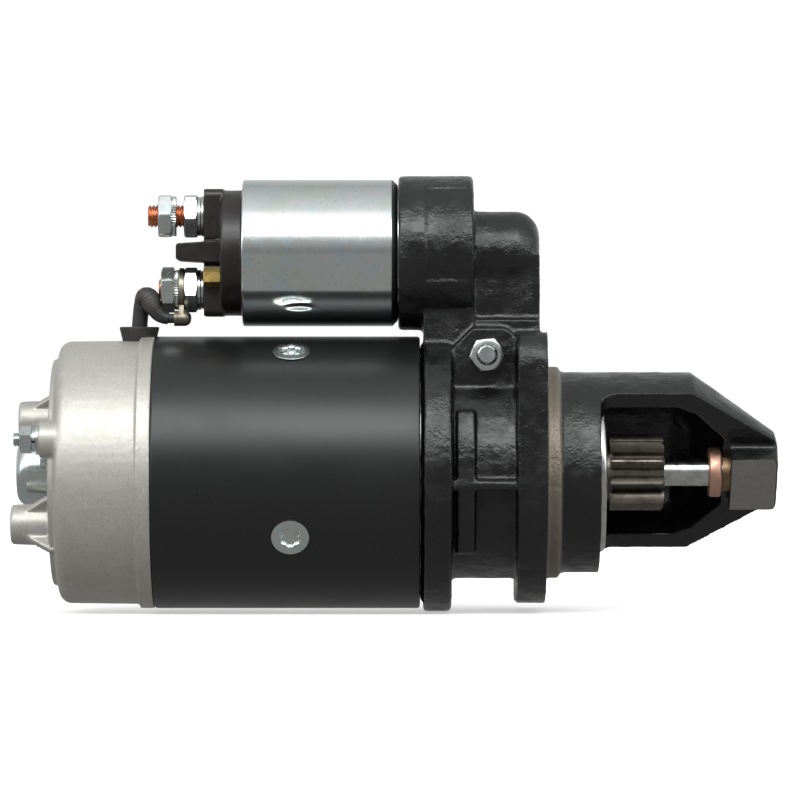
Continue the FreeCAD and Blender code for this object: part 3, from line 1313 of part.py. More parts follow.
def moving_contact():
    push_front = "plunger_back - plunger_travel + contact_travel - free"
    keep("contact_disc", ring("contact_back", "contact_front", "contact_radius", "rod_radius + fit",
                              z="solenoid_z"))
    keep("contact_rod", rod("contact_back - rod_tail", push_front, "rod_radius", z="solenoid_z"))


def solenoid_cap():
    body = turned([("can_back + core_setback - fit", "can_bore - fit"),
                   ("can_back - fit", "can_bore - fit"), ("can_back - fit", "cap_radius"),
                   ("cap_back", "cap_radius", "cap_edge"), ("cap_back", "0"), ("cap_cavity_back", "0"),
                   ("cap_cavity_back", "cap_cavity_radius"),
                   ("can_back + core_setback - fit", "cap_cavity_radius")], z="solenoid_z")
    solids = [body]
    holes = []
    for direction, stud_z in (("1", "battery_z"), ("-1", "motor_stud_z")):
        inner = "%s - %s * block_inward" % (stud_z, direction)
        outer = "%s + %s * block_outward" % (stud_z, direction)
        low, high = (inner, outer) if direction == "1" else (outer, inner)
        solids.append(prism_x([("-block_half_width", low, "block_round"), ("block_half_width", low, "block_round"),
                               ("block_half_width", high, "block_round"),
                               ("-block_half_width", high, "block_round")], "block_back", "cap_back + 1"))
        holes.append(rod("block_back - 1", "can_back", "terminal_radius + fit", z=stud_z))
    tip_back = "cap_back - barrier_length"
    middle = "solenoid_z + barrier_height"
    solids.append(prism_y([(tip_back, middle + " - barrier_tip / 2", "1.2"),
                           ("cap_back + 1", middle + " - barrier_root / 2"),
                           ("cap_back + 1", middle + " + barrier_root / 2"),
                           (tip_back, middle + " + barrier_tip / 2", "1.2")], "2 * barrier_half_width"))
    switch_z = "solenoid_z - switch_terminal_drop"
    holes.append(rod("cap_back - 1", "cap_cavity_back - fit", "switch_terminal_radius - 1 + fit",
                     "switch_terminal_y", switch_z))
    keep("solenoid_cap", cut(fuse(*solids), *holes))
    stem = rod("cap_back - 1", "cap_cavity_back - 2 * fit", "switch_terminal_radius - 1",
               "switch_terminal_y", switch_z)
    head = hexagon("block_back", "cap_back", "2 * switch_terminal_radius", "switch_terminal_y", switch_z)
    keep("switch_terminal", fuse(stem, head))


def terminals():
    for label, stud_z, back in (
            ("battery_stud", "battery_z", "battery_nut_back - battery_stud_end"),
            ("motor_stud", "motor_stud_z", "motor_nut_back - motor_stud_end")):
        keep(label, turned([
            (back, "0"), (back, "terminal_radius", "0.8"), ("cap_cavity_back", "terminal_radius"),
            ("cap_cavity_back", "terminal_head_radius - fit"),
            ("fixed_contact_front", "terminal_head_radius - fit"), ("fixed_contact_front", "0")],
            z=stud_z))
    nuts = []
    for back, front, stud_z in (
            ("inner_nut_back", "inner_nut_front", "battery_z"),
            ("inner_nut_back", "inner_nut_front", "motor_stud_z"),
            ("battery_nut_back", "battery_nut_front", "battery_z"),
            ("motor_nut_back", "motor_nut_front", "motor_stud_z")):
        bore = rod(back + " - 1", front + " + 1", "terminal_radius + fit", z=stud_z)
        nuts.append(cut(hexagon(back, front, "terminal_flats", "0", stud_z), bore))
    keep("terminal_nuts", group(*nuts))
    inner = "terminal_radius + fit"
    washers = []
    for stud_z in ("battery_z", "motor_stud_z"):
        for i in (0, 1):
            back = "inner_nut_front + %d * terminal_washer + 0.05" % i
            washers.append(ring(back, back + " + terminal_washer - 0.1", "terminal_washer_radius", inner,
                                z=stud_z))
    keep("terminal_washers", group(*washers))
    keep("terminal_lock_washers", group(
        ring("battery_nut_front", "battery_lock_front", "terminal_washer_radius", inner, z="battery_z"),
        ring("motor_nut_front", "lug_back", "terminal_washer_radius", inner, z="motor_stud_z")))


def mount_screws():
    screws = []
    for side in ("-", ""):
        y = side + "mount_screw_spread"
        head_back = "mount_front - mount_screw_depth"
        tip = "mount_back - mount_screw_grip"
        blank = turned([(tip, "0"), (tip, "mount_screw_radius"),
                        (head_back, "mount_screw_radius"), ("mount_front - fit", "mount_screw_head"),
                        ("mount_front - fit", "0")], y, "solenoid_z")
        socket = hexagon("mount_front - 2", "mount_front + 1", "mount_screw_socket", y, "solenoid_z")
        screws.append(cut(blank, socket))
    keep("solenoid_screws", group(*screws))


# ---------------------------------------------------------------- motor lead

def bent_path(points):
    """Straight runs joined by tangent arcs."""
    edges = []
    start = points[0]
    for i in range(1, len(points) - 1):
        back = points[i - 1] - points[i]
        ahead = points[i + 1] - points[i]
        setback = 0.45 * min(back.Length, ahead.Length)
        half = back.getAngle(ahead) / 2
        radius = setback * math.tan(half)
        back.normalize()
        ahead.normalize()
        first = points[i] + back * setback
        last = points[i] + ahead * setback
        bisector = (back + ahead).normalize()
        middle = points[i] + bisector * (radius / math.sin(half) - radius)
        edges.append(Part.LineSegment(start, first).toShape())
        edges.append(Part.Arc(first, middle, last).toShape())
        start = last
    edges.append(Part.LineSegment(start, points[-1]).toShape())
    return Part.Wire(edges)


def tube_along(path, radius, inner=0):
    start = path.Edges[0]
    centre = start.valueAt(start.FirstParameter)
    along = start.tangentAt(start.FirstParameter)
    solids = []
    for section in (radius, inner):
        if section:
            circle = Part.Wire(Part.Circle(centre, along, section).toShape())
            solids.append(path.makePipeShell([circle], True, True))
    return solids[0].cut(solids[1]) if inner else solids[0]


def motor_lead():
    """The lead from the brush gear, out of the grommet, to the lower stud."""
    def point(x, y, z):
        return FreeCAD.Vector(worth(x), worth(y), worth(z))

    loop_z = "yoke_radius + lead_rise"
    behind = "lead_start_x + lead_bow"
    lead_end = "lug_back + barrel_front - barrel_radius / 2"
    loop = [point("lead_start_x", "0", loop_z), point(behind, "barrel_y", loop_z),
            point(behind + " + lead_slant", "barrel_y", "barrel_z"), point(lead_end, "barrel_y", "barrel_z")]
    lead = doc.addObject("Part::Feature", new_name("lead"))
    lead.Shape = tube_along(bent_path([point("lead_start_x", "0", "brush_plate_radius + fit")] + loop),
                            dims.lead_radius)
    keep("motor_lead", lead)

    cover = doc.addObject("Part::Feature", new_name("cover"))
    cover_start = point("lead_start_x", "0", "yoke_radius + grommet_lip + 1")
    as_far_as_lug = Part.Wire(bent_path([cover_start] + loop).Edges[:5])
    cover.Shape = tube_along(as_far_as_lug, dims.lead_radius + dims.fit + dims.sleeve_wall,
                             dims.lead_radius + dims.fit)
    keep("lead_sleeve", cover)

    ring_blank = rod("lug_back", "inner_nut_back", "lug_radius", z="motor_stud_z")
    tongue = block("lug_back", "inner_nut_back", "-barrel_radius", "barrel_radius", "-lug_drop", "0")
    turned_tongue = copy(group(tongue), z="motor_stud_z", turn=about_x("-lug_turn"))
    barrel = turned([("lug_back - barrel_back", "0"), ("lug_back - barrel_back", "barrel_radius"),
                     ("lug_back + barrel_front", "barrel_radius", "barrel_radius * 0.9"),
                     ("lug_back + barrel_front", "0")], "barrel_y", "barrel_z")
    eye = rod("lug_back - 1", "inner_nut_back + 1", "terminal_radius + fit", z="motor_stud_z")
    socket = rod("lug_back - barrel_back - 1", lead_end + " + fit", "lead_radius + fit", "barrel_y", "barrel_z")
    keep("lead_terminal", cut(fuse(ring_blank, turned_tongue, barrel), eye, socket))

    rim = "yoke_radius"
    blank = made("Part::Cylinder", "stem", Radius="grommet_stem",
                 Height="yoke_radius - shield_cavity + grommet_inner")
    put(blank, "lead_start_x", "0", "shield_cavity - grommet_inner")
    lip = made("Part::Cone", "lip", Radius1="grommet_waist", Radius2="grommet_radius", Height="grommet_lip")
    put(lip, "lead_start_x", "0", rim)
    bore = post("lead_start_x", "shield_cavity - grommet_inner - 1", rim + " + grommet_lip + 1",
                "lead_radius + fit")
    keep("lead_grommet", cut(fuse(blank, lip), bore))


# ---------------------------------------------------------------- build and write

def build():
    yoke()
    pole_shoes()
    pole_screws()
    field_coils()
    armature_shaft()
    armature_core()
    armature_winding()
    commutator()
    brush_gear()
    end_shield()
    rear_bearing()
    bearing_cap()
    through_studs()
    drive_end_housing()
    drive_end_bearings()
    shift_lever()
    pivot_bolt()
    drive_sleeve()
    pinion(*clutch())
    stop_ring()
    solenoid_can()
    solenoid_core()
    windings()
    plunger()
    moving_contact()
    solenoid_cap()
    terminals()
    mount_screws()
    motor_lead()
    doc.recompute()


def check():
    """Stop if any object failed, or if a sub-part's shape is missing or bad."""
    for piece in doc.Objects:
        if "Invalid" in piece.State or "Error" in piece.State:
            raise RuntimeError("%s failed: %s" % (piece.Label, piece.State))
    for piece in nodes:
        if piece.Shape.isNull() or not piece.Shape.isValid() or not piece.Shape.Solids:
            raise RuntimeError("%s has no valid solid" % piece.Label)


def write():
    os.makedirs("parts", exist_ok=True)
    for piece in nodes:
        piece.Shape.exportStep(os.path.join("parts", piece.Label + ".step"))


fill_sheet()
fill_places()
build()
check()
write()
print("%d sub-parts written" % len(nodes))
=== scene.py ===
"""Looks of the starter motor: soft castings, turned and threaded metal, and a plain white studio.

Metres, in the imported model's frame. +X runs along the shaft towards the pinion and +Z goes up.
"""

import math

import bmesh
import bpy
import numpy as np
from mathutils import Matrix, Vector


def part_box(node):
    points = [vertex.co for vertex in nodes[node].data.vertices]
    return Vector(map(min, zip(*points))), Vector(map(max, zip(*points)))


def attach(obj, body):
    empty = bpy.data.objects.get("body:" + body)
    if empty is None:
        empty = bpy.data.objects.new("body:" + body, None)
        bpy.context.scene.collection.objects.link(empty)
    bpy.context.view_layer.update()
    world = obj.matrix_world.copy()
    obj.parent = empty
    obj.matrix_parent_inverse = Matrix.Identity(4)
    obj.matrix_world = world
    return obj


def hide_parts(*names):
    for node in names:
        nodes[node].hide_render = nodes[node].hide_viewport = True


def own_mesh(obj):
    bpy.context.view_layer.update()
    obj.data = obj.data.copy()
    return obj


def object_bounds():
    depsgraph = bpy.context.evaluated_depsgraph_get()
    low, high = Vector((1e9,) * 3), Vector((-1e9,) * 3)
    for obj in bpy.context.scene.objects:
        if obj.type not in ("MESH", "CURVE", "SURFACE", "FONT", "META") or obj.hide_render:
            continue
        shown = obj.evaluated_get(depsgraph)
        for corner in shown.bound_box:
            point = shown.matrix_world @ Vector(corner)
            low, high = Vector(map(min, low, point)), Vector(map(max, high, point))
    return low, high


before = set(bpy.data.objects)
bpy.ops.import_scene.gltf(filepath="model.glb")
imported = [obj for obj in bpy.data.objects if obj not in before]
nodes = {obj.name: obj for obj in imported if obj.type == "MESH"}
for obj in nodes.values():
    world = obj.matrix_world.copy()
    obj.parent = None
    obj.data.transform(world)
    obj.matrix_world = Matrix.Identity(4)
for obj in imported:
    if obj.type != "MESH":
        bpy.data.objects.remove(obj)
cad_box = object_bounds()
MM = 0.001
TURN = 2 * math.pi


# ---------------------------------------------------------------- materials

class Paint:
    """A Principled material put together from noise in the object's own coordinates."""

    def __init__(self, name, colour, metal, rough, **sockets):
        self.material = bpy.data.materials.new(name)
        self.material.use_nodes = True
        self.tree = self.material.node_tree
        self.shader = self.tree.nodes["Principled BSDF"]
        self.shader.inputs["Base Color"].default_value = (*colour, 1)
        self.shader.inputs["Metallic"].default_value = metal
        self.shader.inputs["Roughness"].default_value = rough
        for socket, value in sockets.items():
            self.shader.inputs[socket.replace("_", " ")].default_value = value
        self.coords = self.node("ShaderNodeTexCoord").outputs["Object"]

    def node(self, kind, **props):
        made = self.tree.nodes.new(kind)
        for prop, value in props.items():
            setattr(made, prop, value)
        return made

    def link(self, source, target):
        self.tree.links.new(source, target)

    def noise(self, size, detail=3.0, roughness=0.55, stretch=(1, 1, 1), where=None):
        """Noise whose features are about size metres across, stretched along some axes."""
        mapping = self.node("ShaderNodeMapping")
        mapping.inputs["Scale"].default_value = [1 / (size * s) for s in stretch]
        self.link(where or self.coords, mapping.inputs["Vector"])
        made = self.node("ShaderNodeTexNoise")
        made.inputs["Scale"].default_value = 1
        made.inputs["Detail"].default_value = detail
        made.inputs["Roughness"].default_value = roughness
        self.link(mapping.outputs["Vector"], made.inputs["Vector"])
        return made.outputs["Fac"]

    def cells(self, size):
        """Distance to the nearest of scattered points, about size metres apart."""
        mapping = self.node("ShaderNodeMapping")
        mapping.inputs["Scale"].default_value = [1 / size] * 3
        self.link(self.coords, mapping.inputs["Vector"])
        made = self.node("ShaderNodeTexVoronoi")
        made.inputs["Scale"].default_value = 1
        self.link(mapping.outputs["Vector"], made.inputs["Vector"])
        return made.outputs["Distance"]

    def span(self, source, low, high, to_low=0.0, to_high=1.0):
        made = self.node("ShaderNodeMapRange")
        for socket, value in (("From Min", low), ("From Max", high), ("To Min", to_low), ("To Max", to_high)):
            made.inputs[socket].default_value = value
        self.link(source, made.inputs["Value"])
        return made.outputs["Result"]

    def math(self, operation, first, second=None):
        made = self.node("ShaderNodeMath", operation=operation)
        for i, value in enumerate((first, second)):
            if value is None:
                continue
            if isinstance(value, (int, float)):
                made.inputs[i].default_value = value
            else:
                self.link(value, made.inputs[i])
        return made.outputs[0]

    def mix_colour(self, mask, other):
        """Blend the base colour towards another colour where the mask is 1."""
        made = self.node("ShaderNodeMix", data_type="RGBA")
        base = self.shader.inputs["Base Color"]
        if base.is_linked:
            self.link(base.links[0].from_socket, made.inputs["A"])
        else:
            made.inputs["A"].default_value = base.default_value
        made.inputs["B"].default_value = (*other, 1)
        self.link(mask, made.inputs["Factor"])
        self.link(made.outputs["Result"], base)
        return self

    def mix_value(self, socket, mask, other):
        made = self.node("ShaderNodeMix", data_type="FLOAT")
        target = self.shader.inputs[socket]
        if target.is_linked:
            self.link(target.links[0].from_socket, made.inputs["A"])
        else:
            made.inputs["A"].default_value = target.default_value
        made.inputs["B"].default_value = other
        self.link(mask, made.inputs["Factor"])
        self.link(made.outputs["Result"], target)
        return self

    def blotches(self, size, other, low=0.45, high=0.7, detail=3.0, stretch=(1, 1, 1)):
        return self.mix_colour(self.span(self.noise(size, detail, stretch=stretch), low, high), other)

    def uneven_gloss(self, size, other, low=0.4, high=0.65, stretch=(1, 1, 1)):
        return self.mix_value("Roughness", self.span(self.noise(size, stretch=stretch), low, high), other)

    def bump(self, source, height):
        """Relief of that height in metres from a source that runs from 0 to 1."""
        made = self.node("ShaderNodeBump")
        made.inputs["Distance"].default_value = height
        made.inputs["Strength"].default_value = 1
        self.link(source, made.inputs["Height"])
        normal = self.shader.inputs["Normal"]
        if normal.is_linked:
            self.link(normal.links[0].from_socket, made.inputs["Normal"])
        self.link(made.outputs["Normal"], normal)
        return self

    def relief(self, size, height, detail=3.0, stretch=(1, 1, 1)):
        return self.bump(self.noise(size, detail, stretch=stretch), height)

    def worn_edges(self, other, low=0.53, high=0.6, rough=0.35):
        """Lighter where a dense mesh is sharply convex, broken up by noise."""
        point = self.node("ShaderNodeNewGeometry").outputs["Pointiness"]
        rubbed = self.span(point, low, high)
        broken = self.span(self.noise(0.0018, 4.0), 0.42, 0.62)
        mask = self.math("MULTIPLY", rubbed, broken)
        self.mix_colour(mask, other)
        return self.mix_value("Roughness", mask, rough)


def black_paint():
    paint = Paint("satin_black_enamel", (0.006, 0.0065, 0.0065), 0, 0.33)
    paint.uneven_gloss(0.03, 0.39).relief(0.0009, 0.0000045, 2.0).relief(0.012, 0.00002, 2.0)
    specks = paint.span(paint.cells(0.006), 0.05, 0.03)
    dusty = paint.span(paint.noise(0.02), 0.5, 0.62)
    paint.mix_colour(paint.math("MULTIPLY", specks, dusty), (0.06, 0.06, 0.06))
    return paint.material


PILOT_START, PILOT_END, PILOT_INSIDE = (0.0001, 0.0004), (0.0062, 0.0059), (0.0424, 0.0427)
FLAT_FACING, FLAT_FROM_NOSE, FLAT_OUT = (0.9, 0.95), (0.0208, 0.0202), (0.0082, 0.0086)


def cast_paint():
    """Gloss black over a rough casting, with bare metal where it was machined after painting."""
    paint = Paint("gloss_black_on_casting", (0.005, 0.0053, 0.0053), 0, 0.19)
    paint.uneven_gloss(0.008, 0.36, 0.45, 0.62)
    paint.blotches(0.02, (0.008, 0.0085, 0.008))
    rough_skin = paint.span(paint.noise(0.014, 2.0), 0.42, 0.62, 0.25, 1.0)
    grit = paint.math("MULTIPLY", paint.noise(0.0011, 4.0), rough_skin)
    paint.bump(grit, 0.00036).relief(0.0045, 0.0003, 2.0)
    paint.worn_edges((0.03, 0.029, 0.027), 0.56, 0.66, 0.35)
    nose_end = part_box("drive_end_housing")[1].x
    xyz = paint.node("ShaderNodeSeparateXYZ")
    paint.link(paint.coords, xyz.inputs[0])
    x, y, z = xyz.outputs
    radius = paint.math("SQRT", paint.math("ADD", paint.math("MULTIPLY", y, y), paint.math("MULTIPLY", z, z)))
    pilot = paint.math("MULTIPLY", paint.span(x, *PILOT_START), paint.span(x, *PILOT_END))
    pilot = paint.math("MULTIPLY", pilot, paint.span(radius, *PILOT_INSIDE))
    facing = paint.node("ShaderNodeVectorMath", operation="DOT_PRODUCT")
    paint.link(paint.node("ShaderNodeTexCoord").outputs["Normal"], facing.inputs[0])
    facing.inputs[1].default_value = (0, -math.cos(WINDOW_ANGLE), -math.sin(WINDOW_ANGLE))
    outwards = paint.node("ShaderNodeVectorMath", operation="DOT_PRODUCT")
    paint.link(paint.coords, outwards.inputs[0])
    outwards.inputs[1].default_value = facing.inputs[1].default_value
    flat = paint.math("MULTIPLY", paint.span(facing.outputs["Value"], *FLAT_FACING),
                      paint.span(x, *(nose_end - length for length in FLAT_FROM_NOSE)))
    flat = paint.math("MULTIPLY", flat, paint.span(outwards.outputs["Value"], *FLAT_OUT))
    for mask, colour in ((pilot, (0.2, 0.17, 0.135)), (flat, (0.24, 0.235, 0.225))):
        paint.mix_colour(mask, colour).mix_value("Metallic", mask, 0.6)
        paint.mix_value("Roughness", mask, 0.45)
    return paint.material


def cast_aluminium():
    paint = Paint("cast_aluminium", (0.46, 0.45, 0.415), 0.6, 0.47)
    paint.blotches(0.016, (0.42, 0.405, 0.365)).blotches(0.0035, (0.5, 0.49, 0.46), 0.55, 0.75, 4.0)
    paint.blotches(0.0009, (0.36, 0.345, 0.31), 0.56, 0.72, 2.0)
    sparkle = paint.span(paint.cells(0.0022), 0.12, 0.06)
    paint.mix_colour(sparkle, (0.78, 0.77, 0.74)).mix_value("Roughness", sparkle, 0.22)
    paint.uneven_gloss(0.009, 0.42).relief(0.0007, 0.00003, 4.0).relief(0.004, 0.00006, 2.0)
    paint.worn_edges((0.62, 0.61, 0.58), 0.53, 0.6, 0.3)
    return paint.material


def plated(name, colour, rough, brushed=(1, 1, 1), lines=0.000002):
    """Zinc plate with a faint cloudy tint and the tool's lines under it."""
    paint = Paint(name, colour, 1, rough)
    warm = tuple(c * k for c, k in zip(colour, (0.93, 0.95, 0.88)))
    cool = tuple(c * k for c, k in zip(colour, (0.9, 0.98, 1.05)))
    paint.blotches(0.012, warm, 0.48, 0.7).blotches(0.008, cool, 0.5, 0.72)
    paint.blotches(0.0009, tuple(c * 0.72 for c in colour), 0.62, 0.74, 2.0)
    paint.uneven_gloss(0.004, rough * 1.5).relief(0.00022, lines, 2.0, brushed)
    return paint.material


def steel(name, colour, rough, brushed=(1, 1, 1), stain=None, lines=0.000004):
    paint = Paint(name, colour, 1, rough)
    paint.blotches(0.006, stain or tuple(c * 0.7 for c in colour), 0.5, 0.72, 4.0)
    paint.blotches(0.0012, tuple(min(1, c * 1.25) for c in colour), 0.58, 0.74)
    paint.uneven_gloss(0.003, min(1, rough * 1.45)).relief(0.0003, lines, 2.0, brushed)
    return paint.material


def dull(name, colour, rough, dust, grain=0.0006, height=0.00002, **sockets):
    """A moulded or carbon surface with a fine grain and a little dust on it."""
    paint = Paint(name, colour, 0, rough, **sockets)
    paint.blotches(0.01, dust, 0.5, 0.75, 4.0).uneven_gloss(0.004, min(1, rough * 1.3))
    paint.relief(grain, height, 3.0)
    return paint.material


def banded(name, colour, metal, rough, bands, gap, gap_colour, patch, patch_colour, height, distortion=0.0):
    """Layers side by side along X, such as wire turns or stacked sheets, with darker gaps."""
    paint = Paint(name, colour, metal, rough)
    wave = paint.node("ShaderNodeTexWave", wave_type="BANDS", bands_direction="X")
    paint.link(paint.coords, wave.inputs["Vector"])
    wave.inputs["Scale"].default_value = bands
    wave.inputs["Distortion"].default_value = distortion
    paint.mix_colour(paint.span(wave.outputs["Fac"], *gap), gap_colour)
    paint.blotches(patch, patch_colour).bump(wave.outputs["Fac"], height)
    return paint.material


WINDOW_ANGLE = math.radians(39)
AROUND = (0.25, 12, 12)
LOOKS = {
    "black_paint": black_paint(),
    "black_cast_paint": cast_paint(),
    "cast_aluminium": cast_aluminium(),
    "zinc_plate": plated("bright_zinc_plate", (0.6, 0.63, 0.62), 0.2),
    "bright_steel": steel("ground_steel", (0.56, 0.56, 0.56), 0.17, AROUND),
    "dark_steel": steel("oiled_hardened_steel", (0.16, 0.145, 0.125), 0.34, stain=(0.08, 0.068, 0.055),
                        lines=0.00001),
    "spring_steel": steel("drawn_spring_wire", (0.3, 0.3, 0.32), 0.3),
    "laminated_iron": banded("stacked_sheet_iron", (0.2, 0.2, 0.205), 0.9, 0.42, 600, (0.25, 0.05),
                             (0.05, 0.05, 0.05), 0.006, (0.13, 0.12, 0.12), 0.00005),
    "copper": steel("bare_copper", (0.66, 0.27, 0.15), 0.26, AROUND, (0.4, 0.15, 0.09)),
    "enamelled_copper": banded("varnished_copper_wire", (0.5, 0.17, 0.07), 0.85, 0.32, 330, (0.35, 0.05),
                               (0.12, 0.03, 0.012), 0.008, (0.36, 0.1, 0.04), 0.0004, 0.6),
    "brass": steel("bright_brass", (0.82, 0.6, 0.2), 0.25, stain=(0.6, 0.42, 0.16)),
    "bronze": steel("sintered_bronze", (0.24, 0.16, 0.095), 0.42, stain=(0.12, 0.08, 0.05),
                    lines=0.00001),
    "phenolic": dull("moulded_phenolic", (0.011, 0.0085, 0.0075), 0.3, (0.018, 0.014, 0.012)),
    "rubber": dull("moulded_rubber", (0.019, 0.018, 0.017), 0.58, (0.045, 0.042, 0.038), 0.0012,
                   0.00003),
    "cable_jacket": dull("cable_jacket", (0.02, 0.018, 0.018), 0.45, (0.04, 0.036, 0.034), 0.002),
    "carbon": dull("carbon_brush", (0.05, 0.043, 0.04), 0.5, (0.11, 0.07, 0.05)),
}
CAN_LOOK = plated("turned_zinc_can", (0.68, 0.71, 0.7), 0.11, (0.3, 14, 14), 0.0000012)
SLOTS = {
    "black_paint": ["yoke"],
    "black_cast_paint": ["drive_end_housing"],
    "cast_aluminium": ["commutator_end_shield", "shift_lever"],
    "zinc_plate": ["pole_screws", "bearing_cap", "bearing_cap_screws", "through_studs", "stud_nuts",
                   "stud_lock_washers", "stud_washers", "pivot_bolt", "pivot_nut", "solenoid_can",
                   "terminal_nuts", "terminal_washers", "terminal_lock_washers", "solenoid_screws"],
    "copper": ["battery_stud", "motor_stud", "commutator_bars", "contact_disc"],
    "brass": ["switch_terminal", "plunger_guide_tube", "lead_terminal"],
    "spring_steel": ["brush_springs", "meshing_spring", "plunger_return_spring", "shaft_retaining_ring",
                     "snap_ring"],
    "phenolic": ["solenoid_cap", "commutator_hub", "brush_holder", "guide_ring"],
    "rubber": ["bearing_cap_seal", "lead_grommet"],
    "cable_jacket": ["lead_sleeve", "motor_lead"],
    "laminated_iron": ["pole_shoes", "armature_core"],
    "enamelled_copper": ["field_coils", "armature_winding", "pull_in_winding", "hold_in_winding"],
    "bright_steel": ["armature_shaft", "intermediate_bearing_plate", "clutch_shell", "clutch_rollers",
                     "clutch_cover", "solenoid_core", "plunger", "contact_rod"],
    "carbon": ["brushes"],
    "bronze": ["rear_bush", "nose_bush", "intermediate_bush", "stop_ring"],
    "dark_steel": ["drive_sleeve", "pinion"],
}


# ---------------------------------------------------------------- mesh tools

def piece(name, verts, faces, look, body, slot, stands_for=(), sharp=32):
    """A shown mesh with smooth faces up to the sharp angle; its callers turn the normals outwards."""
    mesh = bpy.data.meshes.new(name)
    mesh.from_pydata([tuple(v) for v in verts], [], faces)
    return dressed(name, mesh, look, body, stands_for, sharp)


def dressed(name, mesh, look, body, stands_for=(), sharp=32):
    mesh.validate()
    mesh.materials.clear()
    mesh.materials.append(look)
    mesh.shade_smooth()
    if sharp:
        mesh.set_sharp_from_angle(angle=math.radians(sharp))
    made = bpy.data.objects.new(name, mesh)
    bpy.context.scene.collection.objects.link(made)
    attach(made, body)
    if stands_for:
        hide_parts(*stands_for)
    return made


def fillet(outline, steps=4):
    """Corners (x, r) or (x, r, radius), with the last kind rounded."""
    done = []
    count = len(outline)
    for i, corner in enumerate(outline):
        point = Vector(corner[:2])
        if len(corner) == 2 or i in (0, count - 1):
            done.append(tuple(point))
            continue
        before = (Vector(outline[i - 1][:2]) - point)
        after = (Vector(outline[i + 1][:2]) - point)
        half = before.angle(after) / 2
        setback = min(corner[2] / math.tan(half), before.length * 0.49, after.length * 0.49)
        start, end = point + before.normalized() * setback, point + after.normalized() * setback
        for k in range(steps + 1):
            t = k / steps
            done.append(tuple(start * (1 - t) ** 2 + point * 2 * t * (1 - t) + end * t ** 2))
    return done


def turned(outline, centre=(0, 0), count=128, radius_at=None, closed=False):
    """Vertices and faces of an outline of (x, r) in mm, turned about an axis along X.

    radius_at(i, angle, r) may change each ring's radius. Angle 0 is up, and it grows towards -Y.
    A closed outline makes a ring with a hole. An open one has its ends closed if they aren't on the axis.
    """
    verts = []
    for i, (x, r) in enumerate(outline):
        for k in range(count):
            angle = TURN * k / count
            reach = radius_at(i, angle, r) if radius_at else r
            verts.append((x * MM, centre[0] * MM - reach * MM * math.sin(angle),
                          centre[1] * MM + reach * MM * math.cos(angle)))
    rows = len(outline)
    faces = []
    for i in range(rows if closed else rows - 1):
        j = (i + 1) % rows
        for k in range(count):
            m = (k + 1) % count
            faces.append((i * count + k, i * count + m, j * count + m, j * count + k))
    if not closed:
        faces.append(tuple(range(count - 1, -1, -1)))
        faces.append(tuple(range((rows - 1) * count, rows * count)))
    return verts, faces


def joined(*parts):
    verts, faces = [], []
    for part_verts, part_faces in parts:
        start = len(verts)
        verts += list(part_verts)
        faces += [tuple(i + start for i in face) for face in part_faces]
    return verts, faces


def moved(part, matrix):
    return [matrix @ Vector(v) for v in part[0]], part[1]


def outward(made):
    """Turn every closed shell's faces outwards."""
    shell = bmesh.new()
    shell.from_mesh(made.data)
    bmesh.ops.recalc_face_normals(shell, faces=shell.faces)
    shell.to_mesh(made.data)
    shell.free()
    return made


def box_mm(node):
    low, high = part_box(node)
    return low / MM, high / MM


def ring_point(circle, angle):
    return -circle * math.sin(math.radians(angle)), circle * math.cos(math.radians(angle))


NUT_CHAMFER_LEVELS = (0.12, 0.3, 0.55, 0.8, 1.0)
BORE_CHAMFER, BORE_CHAMFER_DEPTH = 0.45, 0.5


def nut(back, front, flats, bore, centre, twist=0.0):
    """A hexagon nut with chamfered corners and a countersunk bore."""
    corner = flats / math.sqrt(3)
    face = flats / 2 * 0.97
    drop = (corner - flats / 2) * 0.62
    mouth = bore + BORE_CHAMFER
    rising = [(back + drop * level, corner) for level in NUT_CHAMFER_LEVELS]
    falling = [(front - drop * level, corner) for level in reversed(NUT_CHAMFER_LEVELS)]
    outline = [(back + BORE_CHAMFER_DEPTH, bore), (back, mouth), (back, face), *rising, *falling,
               (front, face), (front, mouth), (front - BORE_CHAMFER_DEPTH, bore)]
    chamfer = [face + (corner - face) * level for level in NUT_CHAMFER_LEVELS]
    limits = [None] * 3 + chamfer + chamfer[::-1] + [None] * 3

    def hexagonal(i, angle, r):
        if limits[i] is None:
            return r
        sector = (angle - twist + math.pi / 6) % (math.pi / 3) - math.pi / 6
        flat = flats / 2 / math.cos(math.pi / 6 - abs(sector))
        return min(flat, limits[i])
    return turned(outline, centre, 96, hexagonal, closed=True)


def threaded(back, front, radius, pitch, centre, count=40):
    """A rod with a helical thread and lead-in chamfers."""
    depth = pitch * 0.54
    steps = max(8, round((front - back) / pitch * 8))
    outline = [(back + (front - back) * i / steps, radius) for i in range(steps + 1)]

    def helical(i, angle, r):
        x = outline[i][0]
        phase = (x / pitch + angle / TURN) % 1
        ridge = min(1, max(0, 1.25 - abs(phase - 0.5) * 3.2))
        reach = radius - depth * (1 - ridge)
        ease = min(x - back, front - x)
        return min(reach, radius - depth + max(0.0, ease) * 0.9 + 0.05)
    return turned(outline, centre, count, helical)


def washer(back, front, outer, inner, centre, edge=0.25):
    outline = fillet([(back, (inner + outer) / 2), (back, outer, edge), (front, outer, edge),
                      (front, (inner + outer) / 2), (front, inner, edge), (back, inner, edge),
                      (back, (inner + outer) / 2 - 0.01)], 2)
    return turned(outline, centre, 96, closed=True)


